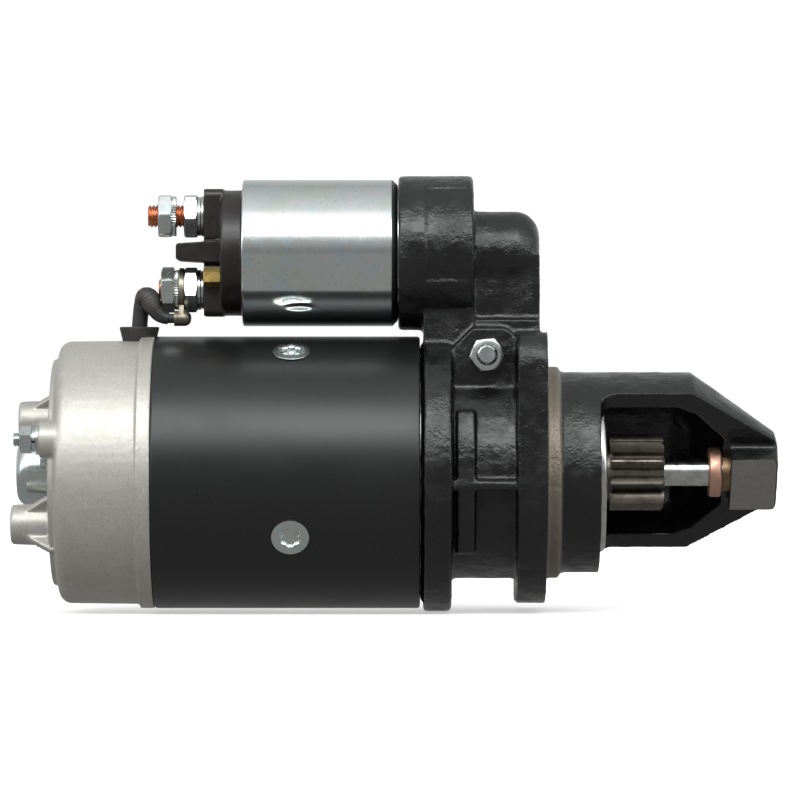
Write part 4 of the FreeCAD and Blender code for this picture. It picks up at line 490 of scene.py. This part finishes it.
def toothed_washer(back, front, outer, inner, centre, teeth=48, tooth=0.26):
    """A dished lock washer with small teeth round its rim."""
    outline = [(back + 0.6, inner), (back, outer - 1.6), (back, outer - 0.3), (back + 0.5, outer),
               (front - 0.5, outer), (front, outer - 0.3), (front, outer - 1.6), (front - 0.6, inner)]

    def toothed(i, angle, r):
        return r - tooth * (0.5 + 0.5 * math.cos(teeth * angle)) if 2 <= i <= 5 else r
    return turned(outline, centre, teeth * 6, toothed, closed=True)


def spring_washer(back, front, outer, inner, centre, gap, rise=0.14):
    """A split ring whose two ends stand a little apart."""
    count, verts, faces = 90, [], []
    section = [(back, inner + 0.1), (back, outer - 0.2), (back + 0.2, outer), (front - 0.2, outer),
               (front, outer - 0.2), (front, inner + 0.1), (front - 0.1, inner), (back + 0.1, inner)]
    for k in range(count + 1):
        share = k / count
        angle = math.radians(gap + 5 + 350 * share)
        for x, r in section:
            x = min(max(x + rise * (share - 0.5), back), front)
            verts.append((x * MM, (centre[0] - r * math.sin(angle)) * MM,
                          (centre[1] + r * math.cos(angle)) * MM))
    n = len(section)
    for k in range(count):
        for i in range(n):
            j = (i + 1) % n
            faces.append((k * n + i, k * n + j, (k + 1) * n + j, (k + 1) * n + i))
    faces += [tuple(range(n)), tuple(range(count * n + n - 1, count * n - 1, -1))]
    return verts, faces


def coil(radius, wire, start, end, turns, closed_turns=0.8, per_turn=40):
    """Points of a compression spring's wire along local X, with its end turns closed up."""
    points = []
    total = round(turns * per_turn)
    length = end - start - wire
    for i in range(total + 1):
        turn = i / per_turn
        if turn < closed_turns:
            travel = wire * turn
        elif turn > turns - closed_turns:
            travel = length - wire * (turns - turn)
        else:
            middle = (turn - closed_turns) / (turns - 2 * closed_turns)
            travel = wire * closed_turns + (length - 2 * wire * closed_turns) * middle
        angle = TURN * turn
        points.append(Vector((start + wire / 2 + travel, radius * math.sin(angle), radius * math.cos(angle))))
    return points


def wire_mesh(points, wire, sides=12):
    """Vertices and faces of a round wire through points in mm."""
    verts, faces = [], []
    for i, point in enumerate(points):
        along = (points[min(i + 1, len(points) - 1)] - points[max(i - 1, 0)]).normalized()
        side = along.cross(Vector((1, 0, 0)) if abs(along.x) < 0.8 else Vector((0, 0, 1))).normalized()
        up = along.cross(side)
        for k in range(sides):
            angle = TURN * k / sides
            verts.append((point + (side * math.cos(angle) + up * math.sin(angle)) * wire / 2) * MM)
    for i in range(len(points) - 1):
        for k in range(sides):
            m = (k + 1) % sides
            faces.append((i * sides + k, i * sides + m, (i + 1) * sides + m, (i + 1) * sides + k))
    faces += [tuple(range(sides - 1, -1, -1)), tuple(range(len(verts) - sides, len(verts)))]
    return verts, faces


def softened(name, node, look, body, voxel, rounds, lumps=(), sharp=0):
    """A copy of a CAD node with its edges and inner corners rounded, as a casting or moulding has them.

    lumps are (feature size, depth) of a relief that is only ever pushed inwards.
    """
    work = bpy.data.objects.new("work", nodes[node].data.copy())
    bpy.context.scene.collection.objects.link(work)
    remesh = work.modifiers.new("remesh", "REMESH")
    remesh.mode = "VOXEL"
    remesh.voxel_size = voxel * MM
    smooth = work.modifiers.new("smooth", "SMOOTH")
    smooth.factor = 0.5
    smooth.iterations = rounds
    for k, (size, depth) in enumerate(lumps):
        texture = bpy.data.textures.new("lumps_%s_%d" % (name, k), "CLOUDS")
        texture.noise_scale = size * MM
        texture.noise_depth = 3
        relief = work.modifiers.new("relief", "DISPLACE")
        relief.texture = texture
        relief.texture_coords = "LOCAL"
        relief.mid_level = 0.8
        relief.strength = depth * MM
    bpy.context.view_layer.update()
    evaluated = work.evaluated_get(bpy.context.evaluated_depsgraph_get())
    mesh = bpy.data.meshes.new_from_object(evaluated)
    bpy.data.objects.remove(work)
    co = np.zeros(len(mesh.vertices) * 3, np.float32)
    mesh.vertices.foreach_get("co", co)
    low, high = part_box(node)
    co = np.clip(co.reshape(-1, 3), np.array(low), np.array(high))
    mesh.vertices.foreach_set("co", co.ravel().astype(np.float32))
    mesh.update()
    return dressed(name, mesh, look, body, (node,), sharp)


# ---------------------------------------------------------------- castings and mouldings

housing = softened("housing_casting", "drive_end_housing", LOOKS["black_cast_paint"], "housing",
                   0.75, 8, ((7, 0.4), (2.2, 0.12)))


def sink_panel():
    """The shallow bordered panel on each side of the solenoid's seat."""
    low, high = box_mm("solenoid_can")
    axis_z = (low.z + high.z) / 2
    seat_radius = (high.z - low.z) / 2 + 1.8
    left, right, step = high.x + 8.1, high.x + 27.5, 1.6
    upper, lower, angle_step = 31.0, 114.0, 3.5
    depth = 0.9
    co = np.zeros(len(housing.data.vertices) * 3, np.float32)
    housing.data.vertices.foreach_get("co", co)
    co = co.reshape(-1, 3) / MM
    y, z = co[:, 1], co[:, 2] - axis_z
    radius = np.hypot(y, z)
    angle = np.degrees(np.arctan2(np.abs(y), z))
    inside = np.ones(len(co))
    for edge in ((co[:, 0] - left) / step, (right - co[:, 0]) / step,
                 (angle - upper) / angle_step, (lower - angle) / angle_step):
        edge = np.clip(edge, 0, 1)
        inside *= edge * edge * (3 - 2 * edge)
    inside *= radius > seat_radius - 1.5
    shrink = 1 - depth * inside / np.maximum(radius, 1)
    co[:, 1] *= shrink
    co[:, 2] = axis_z + z * shrink
    housing.data.vertices.foreach_set("co", (co * MM).astype(np.float32).ravel())
    housing.data.update()


sink_panel()
softened("end_shield_casting", "commutator_end_shield", LOOKS["cast_aluminium"], "housing",
         0.7, 3, ((2.5, 0.06),))
softened("solenoid_cap_moulding", "solenoid_cap", LOOKS["phenolic"], "housing", 0.4, 3)


# ---------------------------------------------------------------- yoke and pole screws

POLE_ANGLES = [27.2 + 90 * k for k in range(4)]


def radial_place(x, radius, angle):
    """Local X of a turned part onto the outward direction at an angle round the shaft."""
    a = math.radians(angle)
    out = Vector((0, -math.sin(a), math.cos(a)))
    side = Vector((1, 0, 0))
    up = out.cross(side)
    turn = Matrix((out, side, up)).transposed().to_4x4()
    return Matrix.Translation(Vector((x * MM, 0, 0)) + out * radius * MM) @ turn


def radii_of(node):
    """The least and greatest distance of a node's vertices from the shaft's axis, in mm, just inside both."""
    co = np.array([v.co[:] for v in nodes[node].data.vertices])
    radius = np.sqrt(co[:, 1] ** 2 + co[:, 2] ** 2) / MM
    return float(radius.min()) + 0.02, float(radius.max()) - 0.02


def make_yoke():
    low, high = box_mm("yoke")
    back, front, outer = low.x, high.x, high.z
    screw_low, screw_high = box_mm("pole_screws")
    middle = (screw_low.x + screw_high.x) / 2
    bore, edge, seam = 49, 1.3, back + 20
    outline = fillet([(seam, outer), (back, outer, edge), (back, bore), (front, bore),
                      (front, outer, edge), (seam + 0.01, outer)], 5)
    tube = turned(outline, count=256, closed=True)
    made = piece("yoke_tube", *tube, LOOKS["black_paint"], "housing", "black_paint", ("yoke",))
    outward(made)
    cutter = turned([(-3.0, 5.0), (0.0, 7.9), (0.4, 8.15), (2, 8.15)], count=72)
    shaft = turned([(-12.0, 5.0), (-2.9, 5.0)], count=72)
    tools = []
    for angle in POLE_ANGLES:
        place = radial_place(middle, outer - 0.4, angle)
        tools += [moved(cutter, place), moved(shaft, place)]
    mesh = bpy.data.meshes.new("cutters")
    verts, faces = joined(*tools)
    mesh.from_pydata([tuple(v) for v in verts], [], faces)
    tool = bpy.data.objects.new("cutters", mesh)
    bpy.context.scene.collection.objects.link(tool)
    outward(tool)
    cut = made.modifiers.new("holes", "BOOLEAN")
    cut.object = tool
    cut.operation = "DIFFERENCE"
    cut.solver = "EXACT"
    bpy.context.view_layer.update()
    mesh = bpy.data.meshes.new_from_object(made.evaluated_get(bpy.context.evaluated_depsgraph_get()))
    made.modifiers.clear()
    made.data = mesh
    mesh.shade_smooth()
    mesh.set_sharp_from_angle(angle=math.radians(28))
    bpy.data.objects.remove(tool)


def make_pole_screws():
    low, high = box_mm("pole_screws")
    middle = (low.x + high.x) / 2
    outline = [(-14.6, 4.4), (-14.1, 4.9), (-3.0, 4.9), (-0.35, 7.7), (-0.12, 7.8), (0, 7.55), (-0.03, 4.9),
               (-0.1, 4.3), (-0.5, 3.9), (-2.3, 3.7), (-2.6, 3.1), (-2.9, 0.6)]

    socket = range(7, 11)

    def six_lobes(i, angle, r):
        return r + 0.42 * math.cos(6 * angle) if i in socket else r
    screw = turned(outline, count=96, radius_at=six_lobes)
    top = radii_of("pole_screws")[1]
    screws = [moved(screw, radial_place(middle, top, angle)) for angle in POLE_ANGLES]
    outward(piece("pole_shoe_screws", *joined(*screws), LOOKS["zinc_plate"], "housing", "zinc_plate",
                  ("pole_screws",), 30))


make_yoke()
make_pole_screws()


# ---------------------------------------------------------------- solenoid

def make_can():
    low, high = box_mm("solenoid_can")
    centre = (low.z + high.z) / 2
    outer = (high.z - low.z) / 2
    back, front = low.x, high.x
    shoulder = front - 2.8
    bore = outer - 2.5
    bevel, core_hole, end_wall = 2.7, 13.2, 7
    outside = fillet([(back + 4, bore), (back, bore), (back, outer, 3.2), (shoulder - bevel, outer, 0.4),
                      (shoulder, outer - bevel), (front, outer - bevel), (front, core_hole),
                      (front - end_wall, core_hole), (front - end_wall, bore), (back + 4.01, bore)], 8)
    outline = []
    for first, second in zip(outside, outside[1:]):
        pieces = max(1, round((Vector(second) - Vector(first)).length / 0.9))
        outline += [tuple(Vector(first).lerp(Vector(second), k / pieces)) for k in range(pieces)]
    outline.append(outside[-1])
    verts, faces = turned(outline, (0, centre), 256, closed=True)
    dimple_x = back + (front - back) * 0.36
    dimple_length, dimple_angle, dimple_depth = 8.0, 5.2, 0.75
    shaped = []
    for x, y, z in verts:
        radius = math.hypot(y, z - centre * MM)
        if radius > (outer - 0.6) * MM:
            angle = math.degrees(math.atan2(-y, z - centre * MM))
            for spot in (139.0, -139.0):
                away = math.hypot((x / MM - dimple_x) / dimple_length, (angle - spot) / dimple_angle)
                if away < 1:
                    radius -= dimple_depth * MM * (1 - away * away) ** 2
            a = math.radians(angle)
            y, z = -radius * math.sin(a), centre * MM + radius * math.cos(a)
        shaped.append((x, y, z))
    outward(piece("solenoid_shell", shaped, faces, CAN_LOOK, "housing", "zinc_plate",
                  ("solenoid_can",), 35))
    # A black ring laid over the bevel at the can's front end, in the black enamel look.
    seam = [(shoulder - 0.3, outer - 2.25), (shoulder - 2.45, outer - 0.12), (shoulder - 2.6, outer - 0.02),
            (shoulder - 2.2, outer - 0.12), (shoulder - 0.1, outer - 2.2)]
    outward(piece("solenoid_front_black_ring", *turned(seam, (0, centre), 192, closed=True), LOOKS["black_paint"],
                  "housing", "black_paint", sharp=60))


def stud_centres(node):
    low, high = box_mm(node)
    return (low.y + high.y) / 2, (low.z + high.z) / 2


BATTERY = stud_centres("battery_stud")
MOTOR = stud_centres("motor_stud")
TERMINAL_FLATS, TERMINAL_BORE, TERMINAL_NUT_THICK = 17, 4.85, 5.8
WASHER_BORE = 4.95


def make_terminals():
    for node, centre in (("battery_stud", BATTERY), ("motor_stud", MOTOR)):
        low, high = box_mm(node)
        thread = threaded(low.x, high.x - 10, 4.8, 1.5, centre)
        neck, flange = high.x - 10.2, high.x - 4.4
        head = turned(fillet([(neck, 4.2), (neck, 4.7), (flange, 4.7), (flange, 6.9, 0.4),
                              (high.x, 6.9, 0.4), (high.x, 3)], 3), centre, 64)
        outward(piece(node + "_thread", *joined(thread, head), LOOKS["copper"], "housing", "copper",
                      (node,), 40))
    washers_back = box_mm("terminal_washers")[0].x
    inner_front = washers_back - 0.05
    thick = TERMINAL_NUT_THICK
    battery_back = low_x_at("terminal_nuts", BATTERY)
    motor_back = low_x_at("terminal_nuts", MOTOR)
    nuts = [nut(back, back + thick, TERMINAL_FLATS, TERMINAL_BORE, centre, twist)
            for back, centre, twist in ((inner_front - thick, BATTERY, 0.66),
                                        (inner_front - thick, MOTOR, -0.26),
                                        (battery_back, BATTERY, 0.49), (motor_back, MOTOR, 0.105))]
    outward(piece("terminal_hex_nuts", *joined(*nuts), LOOKS["zinc_plate"], "housing", "zinc_plate",
                  ("terminal_nuts",), 28))
    flat = []
    for centre, radii in ((BATTERY, (8.2, 8.4)), (MOTOR, (8.4, 8.0))):
        for k, radius in enumerate(radii):
            start = washers_back + k * 1.4
            flat.append(washer(start, start + 1.25, radius, WASHER_BORE, centre))
    outward(piece("terminal_flat_washers", *joined(*flat), LOOKS["zinc_plate"], "housing", "zinc_plate",
                  ("terminal_washers",), 28))
    locks = [toothed_washer(back + thick, back + thick + 1.8, 8.4, WASHER_BORE, centre)
             for back, centre in ((battery_back, BATTERY), (motor_back, MOTOR))]
    outward(piece("terminal_toothed_washers", *joined(*locks), LOOKS["zinc_plate"], "housing", "zinc_plate",
                  ("terminal_lock_washers",), 20))
    low, high = box_mm("switch_terminal")
    centre = ((low.y + high.y) / 2, (low.z + high.z) / 2)
    head = nut(low.x, low.x + 7.2, high.y - low.y, 1.2, centre)
    shank = turned([(low.x + 0.6, 1.25), (high.x, 1.25)], centre, 32)
    outward(piece("switch_terminal_screw", *joined(head, shank), LOOKS["brass"], "housing", "brass",
                  ("switch_terminal",), 30))


def low_x_at(node, centre):
    """The lowest X in mm of a node's vertices within 10 mm of a line along X."""
    co = np.array([v.co[:] for v in nodes[node].data.vertices]) / MM
    near = np.hypot(co[:, 1] - centre[0], co[:, 2] - centre[1]) < 10
    return float(co[near, 0].min())


make_can()
make_terminals()


# ---------------------------------------------------------------- motor lead

def make_lead():
    """A thick rubbery elbow over the lead, and the flared grommet that it comes out of."""
    low, high = box_mm("lead_grommet")
    x, top = (low.x + high.x) / 2, high.z
    barrel_low, barrel_radius, sides = box_mm("lead_terminal")[0], 3.2, 32
    y, z = barrel_low.y + barrel_radius, barrel_low.z + barrel_radius
    route = ((x, 0, top - 1, 3.3), (x + 0.3, 0, top + 4, 3.3), (x + 0.9, -0.4, top + 8.5, 3.6),
             (x + 2.4, -2.0, top + 12.4, 4.4), (x + 4.2, -4.2, top + 12.0, 4.5), (x + 5.8, y, top + 8.3, 3.9),
             (x + 7.4, y, z + 2.6, 3.2), (x + 10.0, y, z + 0.3, 2.9), (x + 12.4, y, z, 2.5))
    curve = bpy.data.curves.new("route", "CURVE")
    curve.dimensions = "3D"
    spline = curve.splines.new("NURBS")
    spline.points.add(len(route) - 1)
    for point, (px, py, pz, radius) in zip(spline.points, route):
        point.co = (px, py, pz, 1)
        point.radius = radius
    spline.order_u = 3
    spline.use_endpoint_u = True
    spline.resolution_u = 12
    guide = bpy.data.objects.new("route", curve)
    line = bpy.data.meshes.new_from_object(guide)
    points = [v.co.copy() for v in line.vertices]
    bpy.data.objects.remove(guide)
    lengths = np.linspace(0, len(route) - 1, len(points))
    radii = np.interp(lengths, range(len(route)), [point[3] for point in route])
    verts, faces = wire_mesh(points, 2.0, sides)
    swollen = []
    for k, (point, radius) in enumerate(zip(points, radii)):
        creases = 1 - 0.03 * math.cos(k * 1.9) * (radius > 3.5)
        for vert in verts[k * sides:(k + 1) * sides]:
            swollen.append((point + (vert / MM - point) * radius * creases) * MM)
    outward(piece("lead_rubber_elbow", swollen, faces, LOOKS["cable_jacket"], "housing", "cable_jacket",
                  ("lead_sleeve",), 50))
    cup = fillet([(low.z, 2.15), (low.z, 5.1, 0.5), (top - 6.6, 5.1), (top - 6.2, 7.0, 0.5),
                  (top - 0.7, 8.3, 0.3), (top, 8.3, 0.4), (top, 7.2, 0.3), (top - 2.2, 6.3, 0.5),
                  (top - 2.4, 3.5, 0.4), (top - 0.4, 3.45, 0.3), (top - 0.4, 2.15)], 4)
    stand = Matrix.Translation((x * MM, 0, 0)) @ Matrix.Rotation(-math.pi / 2, 4, "Y")
    outward(piece("lead_rubber_grommet", *moved(turned(cup, count=96, closed=True), stand), LOOKS["rubber"],
                  "housing", "rubber", ("lead_grommet",), 40))


make_lead()


# ---------------------------------------------------------------- fixings

STUD_CIRCLE, STUD_ANGLE = 46, 72.2


def make_stud_ends():
    low, high = box_mm("through_studs")
    nut_low, nut_high = box_mm("stud_nuts")
    lock_low, lock_high = box_mm("stud_lock_washers")
    washer_low, washer_high = box_mm("stud_washers")
    nuts, locks, flats, studs = [], [], [], []
    for side in (0, 180):
        centre = ring_point(STUD_CIRCLE, STUD_ANGLE + side)
        nuts.append(nut(nut_low.x, nut_high.x, 10, 3.05, centre, 0.2 + side))
        locks.append(spring_washer(lock_low.x, lock_high.x, 4.95, 3.25, centre, 100 + side))
        flats.append(washer(washer_low.x, washer_high.x, 6.2, 3.3, centre, 0.2))
        studs.append(threaded(low.x, low.x + 24, 3.0, 1.0, centre, count=32))
        studs.append(turned(fillet([(low.x + 23.6, 1.5), (low.x + 23.6, 2.7, 0.3), (high.x - 12, 2.7, 0.3),
                                    (high.x - 12, 1.5)], 2), centre, 32))
        studs.append(threaded(high.x - 12.2, high.x, 3.0, 1.0, centre, count=32))
    zinc = LOOKS["zinc_plate"]
    for name, parts, node in (("stud_hex_nuts", nuts, "stud_nuts"),
                              ("stud_spring_washers", locks, "stud_lock_washers"),
                              ("stud_flat_washers", flats, "stud_washers"),
                              ("long_studs", studs, "through_studs")):
        outward(piece(name, *joined(*parts), zinc, "housing", "zinc_plate", (node,), 32))


def make_pivot():
    low, high = box_mm("pivot_bolt")
    nut_low, nut_high = box_mm("pivot_nut")
    x, z = (nut_low.x + nut_high.x) / 2, (nut_low.z + nut_high.z) / 2
    to_y = Matrix.Translation((x * MM, 0, z * MM)) @ Matrix.Rotation(math.radians(90), 4, "Z")
    thread = threaded(low.y, nut_high.y + 3, 3.95, 1.25, (0, 0))
    shank = turned([(nut_high.y + 2.8, 3.9), (high.y - 5.2, 3.9)], count=48)
    head = nut(high.y - 5.3, high.y, 13, 0.4, (0, 0), 0.3)
    outward(piece("pivot_hex_bolt", *moved(joined(thread, shank, head), to_y), LOOKS["zinc_plate"], "housing",
                  "zinc_plate", ("pivot_bolt",), 32))
    collar = turned(fillet([(nut_high.y - 1.0, 4.2), (nut_high.y - 1.0, 6.2), (nut_high.y, 6.5, 0.2),
                            (nut_high.y, 4.2)], 2), count=72, closed=True)
    hexagon = nut(nut_low.y, nut_high.y - 0.9, 13, 4.0, (0, 0), 0.4)
    outward(piece("pivot_hex_nut", *moved(joined(hexagon, collar), to_y), LOOKS["zinc_plate"], "housing",
                  "zinc_plate", ("pivot_nut",), 32))


def make_cap_screws():
    low, high = box_mm("bearing_cap_screws")
    screws = []
    for side in (0, 180):
        centre = ring_point(17.9, 72 + side)
        head = fillet([(high.x, 1.6), (high.x - 0.4, 2.0), (low.x + 2.4, 2.0), (low.x + 2.4, 3.1, 0.3),
                       (low.x, 3.1, 0.9), (low.x, 2.0), (low.x + 0.3, 1.5), (low.x + 1.3, 0.4)], 3)

        def crossed(i, angle, r, first=len(head) - 3):
            return r * (0.62 + 0.38 * math.cos(4 * angle)) if i > first else r
        screws.append(turned(head, centre, 64, crossed))
    outward(piece("bearing_cap_screw_pair", *joined(*screws), LOOKS["zinc_plate"], "housing", "zinc_plate",
                  ("bearing_cap_screws",), 32))


make_stud_ends()
make_pivot()
make_cap_screws()


# ---------------------------------------------------------------- springs

def make_springs():
    low, high = box_mm("meshing_spring")
    wire = 2.4
    radius = (high.z - low.z) / 2 - wire / 2
    points = coil(radius, wire, low.x, high.x, 5.4)
    outward(piece("meshing_coil", *wire_mesh(points, wire), LOOKS["spring_steel"], "drive", "spring_steel",
                  ("meshing_spring",), 60))
    low, high = box_mm("plunger_return_spring")
    wire = 1.3
    radius = (high.z - low.z) / 2 - wire / 2
    centre = Vector((0, 0, (low.z + high.z) / 2))
    points = [point + centre for point in coil(radius, wire, low.x, high.x, 4.6)]
    spring = outward(piece("plunger_return_coil", *wire_mesh(points, wire), LOOKS["spring_steel"], "housing",
                           "spring_steel", ("plunger_return_spring",), 60))
    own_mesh(spring)
    low, high = box_mm("brush_springs")
    middle = (low.x + high.x) / 2
    bottom, top = radii_of("brush_springs")
    wire = 1.0
    wound = wire_mesh(coil(2.5, wire, bottom - top, 0, 4.2, per_turn=24), wire, 8)
    springs = [moved(wound, radial_place(middle, top, angle)) for angle in POLE_ANGLES]
    outward(piece("brush_coils", *joined(*springs), LOOKS["spring_steel"], "housing", "spring_steel",
                  ("brush_springs",), 60))


make_springs()


# ---------------------------------------------------------------- CAD nodes that stay

slot_of = {node: slot for slot, members in SLOTS.items() for node in members}
OWN_LOOKS = {
    "lead_terminal": steel("tinned_lug", (0.27, 0.25, 0.2), 0.36, stain=(0.13, 0.11, 0.07)),
    "stop_ring": steel("copper_stop_ring", (0.55, 0.33, 0.245), 0.4, stain=(0.42, 0.24, 0.17)),
}
for name, node in nodes.items():
    look = OWN_LOOKS.get(name) or LOOKS[slot_of[name]]
    node.data.materials.clear()
    node.data.materials.append(look)


# ---------------------------------------------------------------- studio

BANK = 4.2                      # radiance of the bright bank


def studio_world():
    """Soft light by direction: a bright bank in front and above, and a dim band level with the lens.

    The lens itself sees plain white behind the object.
    """
    world = bpy.data.worlds.new("studio")
    bpy.context.scene.world = world
    world.use_nodes = True
    tree = world.node_tree
    tree.nodes.clear()

    def node(kind, **props):
        made = tree.nodes.new(kind)
        for prop, value in props.items():
            setattr(made, prop, value)
        return made
    link = tree.links.new
    direction = node("ShaderNodeTexCoord").outputs["Generated"]
    parts = node("ShaderNodeSeparateXYZ")
    link(direction, parts.inputs[0])
    minus_y = node("ShaderNodeMath", operation="MULTIPLY")
    minus_y.inputs[1].default_value = -1
    link(parts.outputs["Y"], minus_y.inputs[0])
    angle = node("ShaderNodeMath", operation="ARCTAN2")
    link(parts.outputs["Z"], angle.inputs[0])
    link(minus_y.outputs[0], angle.inputs[1])
    share = node("ShaderNodeMapRange")
    share.inputs["From Min"].default_value = -math.pi
    share.inputs["From Max"].default_value = math.pi
    link(angle.outputs[0], share.inputs["Value"])
    ramp = node("ShaderNodeValToRGB")
    link(share.outputs["Result"], ramp.inputs["Fac"])
    stops = ((-180, 0.7), (-90, 0.1), (-20, 0.2), (5, 0.27), (18, 0.5), (26, 1.0), (31, BANK), (47, BANK),
             (57, 1.6), (72, 0.95), (95, 0.72), (130, 0.5), (180, 0.75))
    elements = ramp.color_ramp.elements
    while len(elements) > 1:
        elements.remove(elements[-1])
    for k, (degrees, level) in enumerate(stops):
        position = (degrees + 180) / 360
        stop = elements[0] if k == 0 else elements.new(position)
        stop.position = position
        share_of_bank = level / BANK
        stop.color = (share_of_bank * 0.98, share_of_bank * 0.995, share_of_bank, 1)
    lit = node("ShaderNodeBackground")
    lit.inputs["Strength"].default_value = BANK
    link(ramp.outputs["Color"], lit.inputs["Color"])
    plain = node("ShaderNodeBackground")
    plain.inputs["Color"].default_value = (1, 1, 1, 1)
    plain.inputs["Strength"].default_value = 1.05
    rays = node("ShaderNodeLightPath")
    mix = node("ShaderNodeMixShader")
    link(rays.outputs["Is Camera Ray"], mix.inputs["Fac"])
    link(lit.outputs[0], mix.inputs[1])
    link(plain.outputs[0], mix.inputs[2])
    out = node("ShaderNodeOutputWorld")
    link(mix.outputs[0], out.inputs["Surface"])


def make_floor():
    """A plain pale floor, which reflects and lights the object less than the lens sees of it."""
    size, gap = 4.0, 0.0004
    mesh = bpy.data.meshes.new("floor")
    z = cad_box[0].z - gap
    mesh.from_pydata([(-size, -size, z), (size, -size, z), (size, size, z), (-size, size, z)], [],
                     [(0, 1, 2, 3)])
    floor = bpy.data.objects.new("floor", mesh)
    bpy.context.scene.collection.objects.link(floor)
    paint = Paint("pale_floor", (0.9, 0.9, 0.895), 0, 0.6)
    paint.blotches(0.4, (0.88, 0.88, 0.875))
    paint.shader.inputs["Emission Color"].default_value = (1, 1, 0.99, 1)
    paint.shader.inputs["Emission Strength"].default_value = 0.45
    card = paint.node("ShaderNodeEmission")
    card.inputs["Color"].default_value = (0.3, 0.3, 0.295, 1)
    mix = paint.node("ShaderNodeMixShader")
    paint.link(paint.node("ShaderNodeLightPath").outputs["Is Camera Ray"], mix.inputs["Fac"])
    paint.link(card.outputs[0], mix.inputs[1])
    paint.link(paint.shader.outputs[0], mix.inputs[2])
    paint.link(mix.outputs[0], paint.tree.nodes["Material Output"].inputs["Surface"])
    mesh.materials.append(paint.material)


def make_light(name, location, target, size, power):
    data = bpy.data.lights.new(name, "AREA")
    data.shape = "RECTANGLE"
    data.size, data.size_y = size
    data.energy = power
    lamp = bpy.data.objects.new(name, data)
    lamp.location = location
    lamp.rotation_euler = (Vector(target) - Vector(location)).to_track_quat("-Z", "Y").to_euler()
    bpy.context.scene.collection.objects.link(lamp)


def make_camera():
    low, high = cad_box
    distance, field, sensor, aside = 2.2, 0.3305, 36, 0.001
    data = bpy.data.cameras.new("camera")
    data.sensor_width = sensor
    data.lens = sensor * distance / field
    data.clip_start, data.clip_end = 0.05, 50
    camera = bpy.data.objects.new("camera", data)
    camera.location = ((low.x + high.x) / 2 - aside, -distance, (low.z + high.z) / 2)
    camera.rotation_euler = (math.radians(90), 0, 0)
    bpy.context.scene.collection.objects.link(camera)
    bpy.context.scene.camera = camera


studio_world()
make_floor()
make_light("key", (-0.25, -0.75, 0.75), (-0.06, 0, 0.02), (1.2, 0.45), 3)
make_camera()
scene = bpy.context.scene
scene.view_settings.view_transform = "Standard"
scene.view_settings.look = "None"
